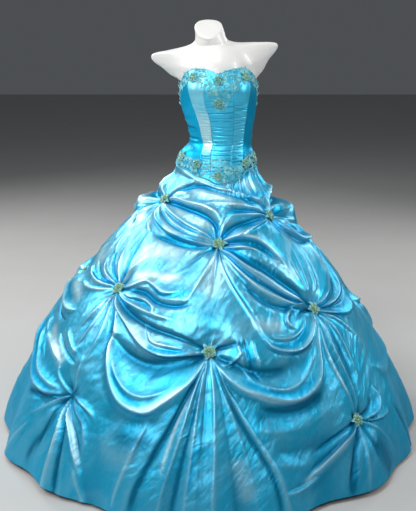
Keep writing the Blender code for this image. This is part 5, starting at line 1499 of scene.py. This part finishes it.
def add_petal(pile, centre, axes, turn, start, length, width, rise, curl, kind):
    """A small cupped petal or ribbon leaf that stands out from a cluster."""
    side, top, normal = axes
    rows, columns = 8, 5
    t = np.linspace(0.0, 1.0, rows)[:, None]
    v = np.linspace(-1.0, 1.0, columns)[None, :]
    half = 0.5 * width * np.sin(np.pi * np.clip(t, 0.03, 0.97) ** 0.8) ** 0.7
    along = start + length * t + 0.0 * v
    lift = rise + curl * np.sin(np.pi * t) + 0.25 * width * v * v * np.sin(np.pi * t)
    outward = side * math.cos(turn) + top * math.sin(turn)
    beside = -side * math.sin(turn) + top * math.cos(turn)
    upper = centre + outward * along[..., None] + beside * (half * v)[..., None] + normal * lift[..., None]
    lower = upper - normal * 0.0006
    # the rows run outward and the columns to the left, so every face is turned round to look out
    faces = [face[::-1] for face in pad_faces(rows, columns)]
    pile.add(np.vstack([upper.reshape(-1, 3), lower.reshape(-1, 3)]), faces, kind)


def bead_cluster(pile, centre, axes, radius, tall, bead, rng):
    """Beads sewn in rings over a small dome, the middle one standing highest, and some of them clear."""
    for ring in range(int(radius / (1.75 * bead)) + 1):
        reach = 1.75 * bead * ring
        count = 1 if ring == 0 else int(2.0 * math.pi * reach / (2.05 * bead))
        for index in range(count):
            turn = 2.0 * math.pi * (index + 0.5 * (ring % 2)) / count + rng.uniform(-0.06, 0.06)
            here = reach * (1.0 + 0.10 * math.cos(5.0 * turn))
            level = tall * (1.0 - (here / (radius * 1.25)) ** 2) + bead * 0.4 + rng.uniform(-0.2, 0.3) * bead
            place = round_place(centre, axes, turn, here, level)
            size = bead * rng.uniform(0.82, 1.08)
            add_bead(pile, place, size, CLEAR if rng.random() < 0.16 else BEAD)


def build_flowers():
    rng = random.Random(23)
    for name, angle, height in FLOWERS:
        pile = Pile()
        normal = bodice_normal(angle, height)
        centre = bodice_face(angle, height) + normal * 0.0016
        axes = frame_at(normal)
        for petal in range(6):
            turn = 2.0 * math.pi * petal / 6.0
            add_petal(pile, centre, axes, turn + 0.3, 0.006, 0.0125, 0.0120, 0.0004, 0.0018, RIBBON)
            for step in range(3):
                place = round_place(centre, axes, turn, 0.0145 + 0.0024 * step, 0.0014)
                add_bead(pile, place, 0.0013, CLEAR if step == 2 else BEAD)
        bead_cluster(pile, centre, axes, 0.0140, 0.0040, 0.0019, rng)
        obj = pile.make("beaded_" + name, [BEADS, PEARLS, LACE])
        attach(obj, "root")
        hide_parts(name)


def rosette_place(grids, angle, height):
    """Where a rosette sits on the folded cloth, and its directions there."""
    gaps = [np.hypot(*from_place(grid, angle, height)) for grid in grids]
    nearest = min(range(len(grids)), key=lambda index: gaps[index].min())
    gap, place, normal = gaps[nearest], grids[nearest]["place"], grids[nearest]["normal"]
    spot = np.unravel_index(np.argmin(gap), gap.shape)
    axes = frame_at(normal[spot])
    # it rests on the higher cloth under it
    levels = (place[gap < 0.013] - place[spot]) @ axes[2]
    return place[spot] + axes[2] * (np.percentile(levels, 75) + 0.0005), axes


def build_rosettes(grids):
    rng = random.Random(31)
    for name, angle, height, has_rosette in PICKUPS:
        if not has_rosette:
            continue
        centre, axes = rosette_place(grids, angle, height)
        pile = Pile()
        first = rng.uniform(0.0, 6.28)
        for leaf in range(5):
            turn = first + 2.0 * math.pi * leaf / 5.0 + rng.uniform(-0.3, 0.3)
            add_petal(pile, centre, axes, turn, 0.008, rng.uniform(0.018, 0.026), 0.0120, 0.001,
                      rng.uniform(0.002, 0.006), RIBBON)
        for petal in range(8):
            turn = first + 2.0 * math.pi * petal / 8.0
            add_petal(pile, centre, axes, turn, 0.004, 0.0170, 0.0125, 0.0032, 0.0020, BEAD)
        bead_cluster(pile, centre + axes[2] * 0.002, axes, 0.0165, 0.0065, 0.0023, rng)
        for index in range(16):
            turn = first + 2.0 * math.pi * index / 16.0
            place = round_place(centre, axes, turn, 0.0200 + 0.0014 * (index % 2), 0.0052)
            add_bead(pile, place, 0.0016, BEAD)
        obj = pile.make("beaded_rosette_" + name, [BEADS, PEARLS, LACE])
        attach(obj, "root")
        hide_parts("rosette_" + name)


# ---- the dress form ----
# Rings over the bust: height, middle in X, half width, how far the arm stubs stand out, depth to the front
# and to the back, how far the sides lie back, and in degrees how the ring rises to the right and backwards.
SHOULDERS = (
    (1.216, 0.036, 0.121, 0.002, 0.109, 0.094, 0.002, 0.0, 0.0),
    (1.238, 0.034, 0.119, 0.012, 0.108, 0.092, 0.016, 1.0, 0.0),
    (1.262, 0.029, 0.116, 0.044, 0.104, 0.088, 0.024, 2.5, 0.0),
    (1.290, 0.025, 0.112, 0.070, 0.097, 0.082, 0.020, 4.0, 0.0),
    (1.315, 0.023, 0.104, 0.104, 0.082, 0.072, 0.020, 5.0, 0.0),
    (1.332, 0.022, 0.094, 0.122, 0.068, 0.061, 0.018, 5.0, 0.0),
    (1.344, 0.020, 0.083, 0.120, 0.057, 0.051, 0.016, 5.0, 0.0),
    (1.350, 0.016, 0.072, 0.075, 0.052, 0.048, 0.016, 5.0, 0.0),
    (1.355, 0.013, 0.064, 0.026, 0.050, 0.047, 0.012, 4.0, 3.0),
    (1.363, 0.011, 0.057, 0.004, 0.050, 0.049, 0.006, 3.0, 9.0),
    (1.376, 0.009, 0.052, 0.000, 0.051, 0.047, 0.000, 2.0, 18.0),
    (1.394, 0.006, 0.049, 0.000, 0.052, 0.040, 0.000, 1.0, 28.0),
    (1.412, 0.002, 0.0465, 0.000, 0.054, 0.032, 0.000, 0.0, 35.0),
)
FORM_FOOT_HEIGHT, FORM_FOOT_TAPER = 0.900, 0.10
FORM_HEIGHTS = (0.912, 0.935, 0.962, 0.985, 1.005, 1.022, 1.037, 1.052, 1.083, 1.123, 1.164, 1.196)
FORM_CLEARANCE, FORM_FOOT_CLEARANCE = 0.0068, 0.022
SPOKES = 120
# The neck's top closes over in these rings: share of the last ring, and height over it.
NECK_CAP = ((0.985, 0.0012), (0.955, 0.0024), (0.90, 0.0032), (0.6, 0.0036), (0.25, 0.0038))


def shoulder_ring(height, middle, chest, stub, front, back, lie_back, tilt, slope):
    angle = turn_between(np.linspace(0.0, 360.0, SPOKES, endpoint=False), 0.0)
    turn = np.radians(angle)
    bulge = stub * bell((np.abs(angle) - 99.0) / 25.0)
    across = chest * np.sin(turn) + np.copysign(bulge, angle) * (np.abs(angle) > 0.01)
    depth = mix(back, front, 0.5 + 0.5 * np.cos(turn))
    deep = lie_back * np.sin(turn) ** 2 - depth * np.cos(turn)
    rise = across * math.tan(math.radians(tilt)) + deep * math.tan(math.radians(slope))
    return np.stack([middle + across, deep, height + rise], -1)


def form_clearance(height):
    """Room between the form and the gown, more towards the form's foot, where the skirt is gathered."""
    return mix(FORM_CLEARANCE, FORM_FOOT_CLEARANCE, smooth((0.985 - height) / 0.070))


def build_form():
    angles = np.linspace(0.0, 360.0, SPOKES, endpoint=False)
    rings = [bodice_point(angles, np.full(SPOKES, height), np.full(SPOKES, -form_clearance(height)))
             for height in (FORM_FOOT_HEIGHT,) + FORM_HEIGHTS]
    rings[0] = mix(rings[0], np.array([0.0, 0.0, FORM_FOOT_HEIGHT]), FORM_FOOT_TAPER)
    rings[0][:, 2] = FORM_FOOT_HEIGHT
    rings = np.array(rings + [shoulder_ring(*row) for row in SHOULDERS])
    foot, cap = rings[0].mean(0), rings[-1].mean(0)
    fine = [foot + (rings[0] - foot) * share for share in (0.3, 0.8)] + smooth_line(rings)
    fine += [cap + (rings[-1] - cap) * share + UP * lift for share, lift in NECK_CAP]
    rows = len(fine)
    verts = np.vstack(fine + [foot[None], (cap + UP * NECK_CAP[-1][1])[None]])
    faces = list(grid_faces(rows, SPOKES, closed=True))
    low, high = rows * SPOKES, rows * SPOKES + 1
    for spoke in range(SPOKES):
        following = (spoke + 1) % SPOKES
        faces.append([following, spoke, low])
        faces.append([(rows - 1) * SPOKES + spoke, (rows - 1) * SPOKES + following, high])
    obj = new_object("enamelled_form_torso", verts, faces, [ENAMEL])
    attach(obj, "root")
    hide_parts("form_torso")
    for name in ("stand_pole", "stand_base"):
        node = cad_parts[name]
        for index in range(len(node.material_slots)):
            node.material_slots[index].material = STEEL
        if not node.material_slots:
            node.data.materials.append(STEEL)


# ---- floor, light and camera ----
# Lamps: name, place, what it is turned to, size and power.
LAMPS = (
    ("left_window", (-2.7, 0.1, 2.5), (0.0, 0.0, 0.6), (1.3, 1.8), 47.0),
    ("key_window", (-1.5, -2.3, 3.0), (0.0, 0.0, 0.75), (1.1, 1.4), 53.0),
    ("front_fill", (-0.3, -3.6, 2.6), (0.0, 0.0, 1.1), (1.7, 1.1), 38.0),
    ("right_strip", (3.0, -0.4, 2.2), (0.0, 0.0, 0.6), (0.4, 2.0), 37.0),
    ("top_box", (0.0, -0.9, 3.9), (0.0, 0.0, 0.8), (0.9, 0.9), 27.0),
    ("back_left", (-2.2, 2.9, 2.8), (0.0, 0.0, 0.7), (1.0, 1.6), 60.0),
    ("back_right", (2.4, 2.4, 2.0), (0.0, 0.0, 0.7), (1.0, 1.6), 25.0),
)


def soft_light(name, place, aim, size, power):
    data = bpy.data.lights.new(name, "AREA")
    data.shape = "RECTANGLE"
    data.size, data.size_y = size
    data.energy = power
    lamp = bpy.data.objects.new(name, data)
    lamp.location = place
    lamp.rotation_euler = (Vector(aim) - Vector(place)).to_track_quat("-Z", "Y").to_euler()
    bpy.context.scene.collection.objects.link(lamp)


def build_stage():
    bpy.ops.mesh.primitive_plane_add(size=30.0, location=(0.0, 0.0, 0.0))
    floor = bpy.context.object
    floor.name = "pale_floor"
    floor.data.materials.append(floor_material())
    floor.select_set(False)

    world = bpy.data.worlds.new("soft_room")
    bpy.context.scene.world = world
    world.use_nodes = True
    background = world.node_tree.nodes["Background"]
    background.inputs["Color"].default_value = linear("#D5DBE2")
    background.inputs["Strength"].default_value = 0.11
    for lamp in LAMPS:
        soft_light(*lamp)

    view = bpy.data.cameras.new("camera")
    view.sensor_width = 36.0
    view.sensor_fit = "AUTO"
    view.lens = 59.1
    camera = bpy.data.objects.new("camera", view)
    camera.location = (0.0, -2.9, 1.42)
    camera.rotation_euler = (math.radians(90.0 - 15.4), 0.0, 0.0)
    bpy.context.scene.collection.objects.link(camera)
    bpy.context.scene.camera = camera
    bpy.context.scene.view_settings.view_transform = "Standard"


# ---- everything ----
build_stage()
skirt, gores = build_skirt()
panels = build_bodice()
build_lace()
build_flowers()
build_rosettes(skirt)
build_form()
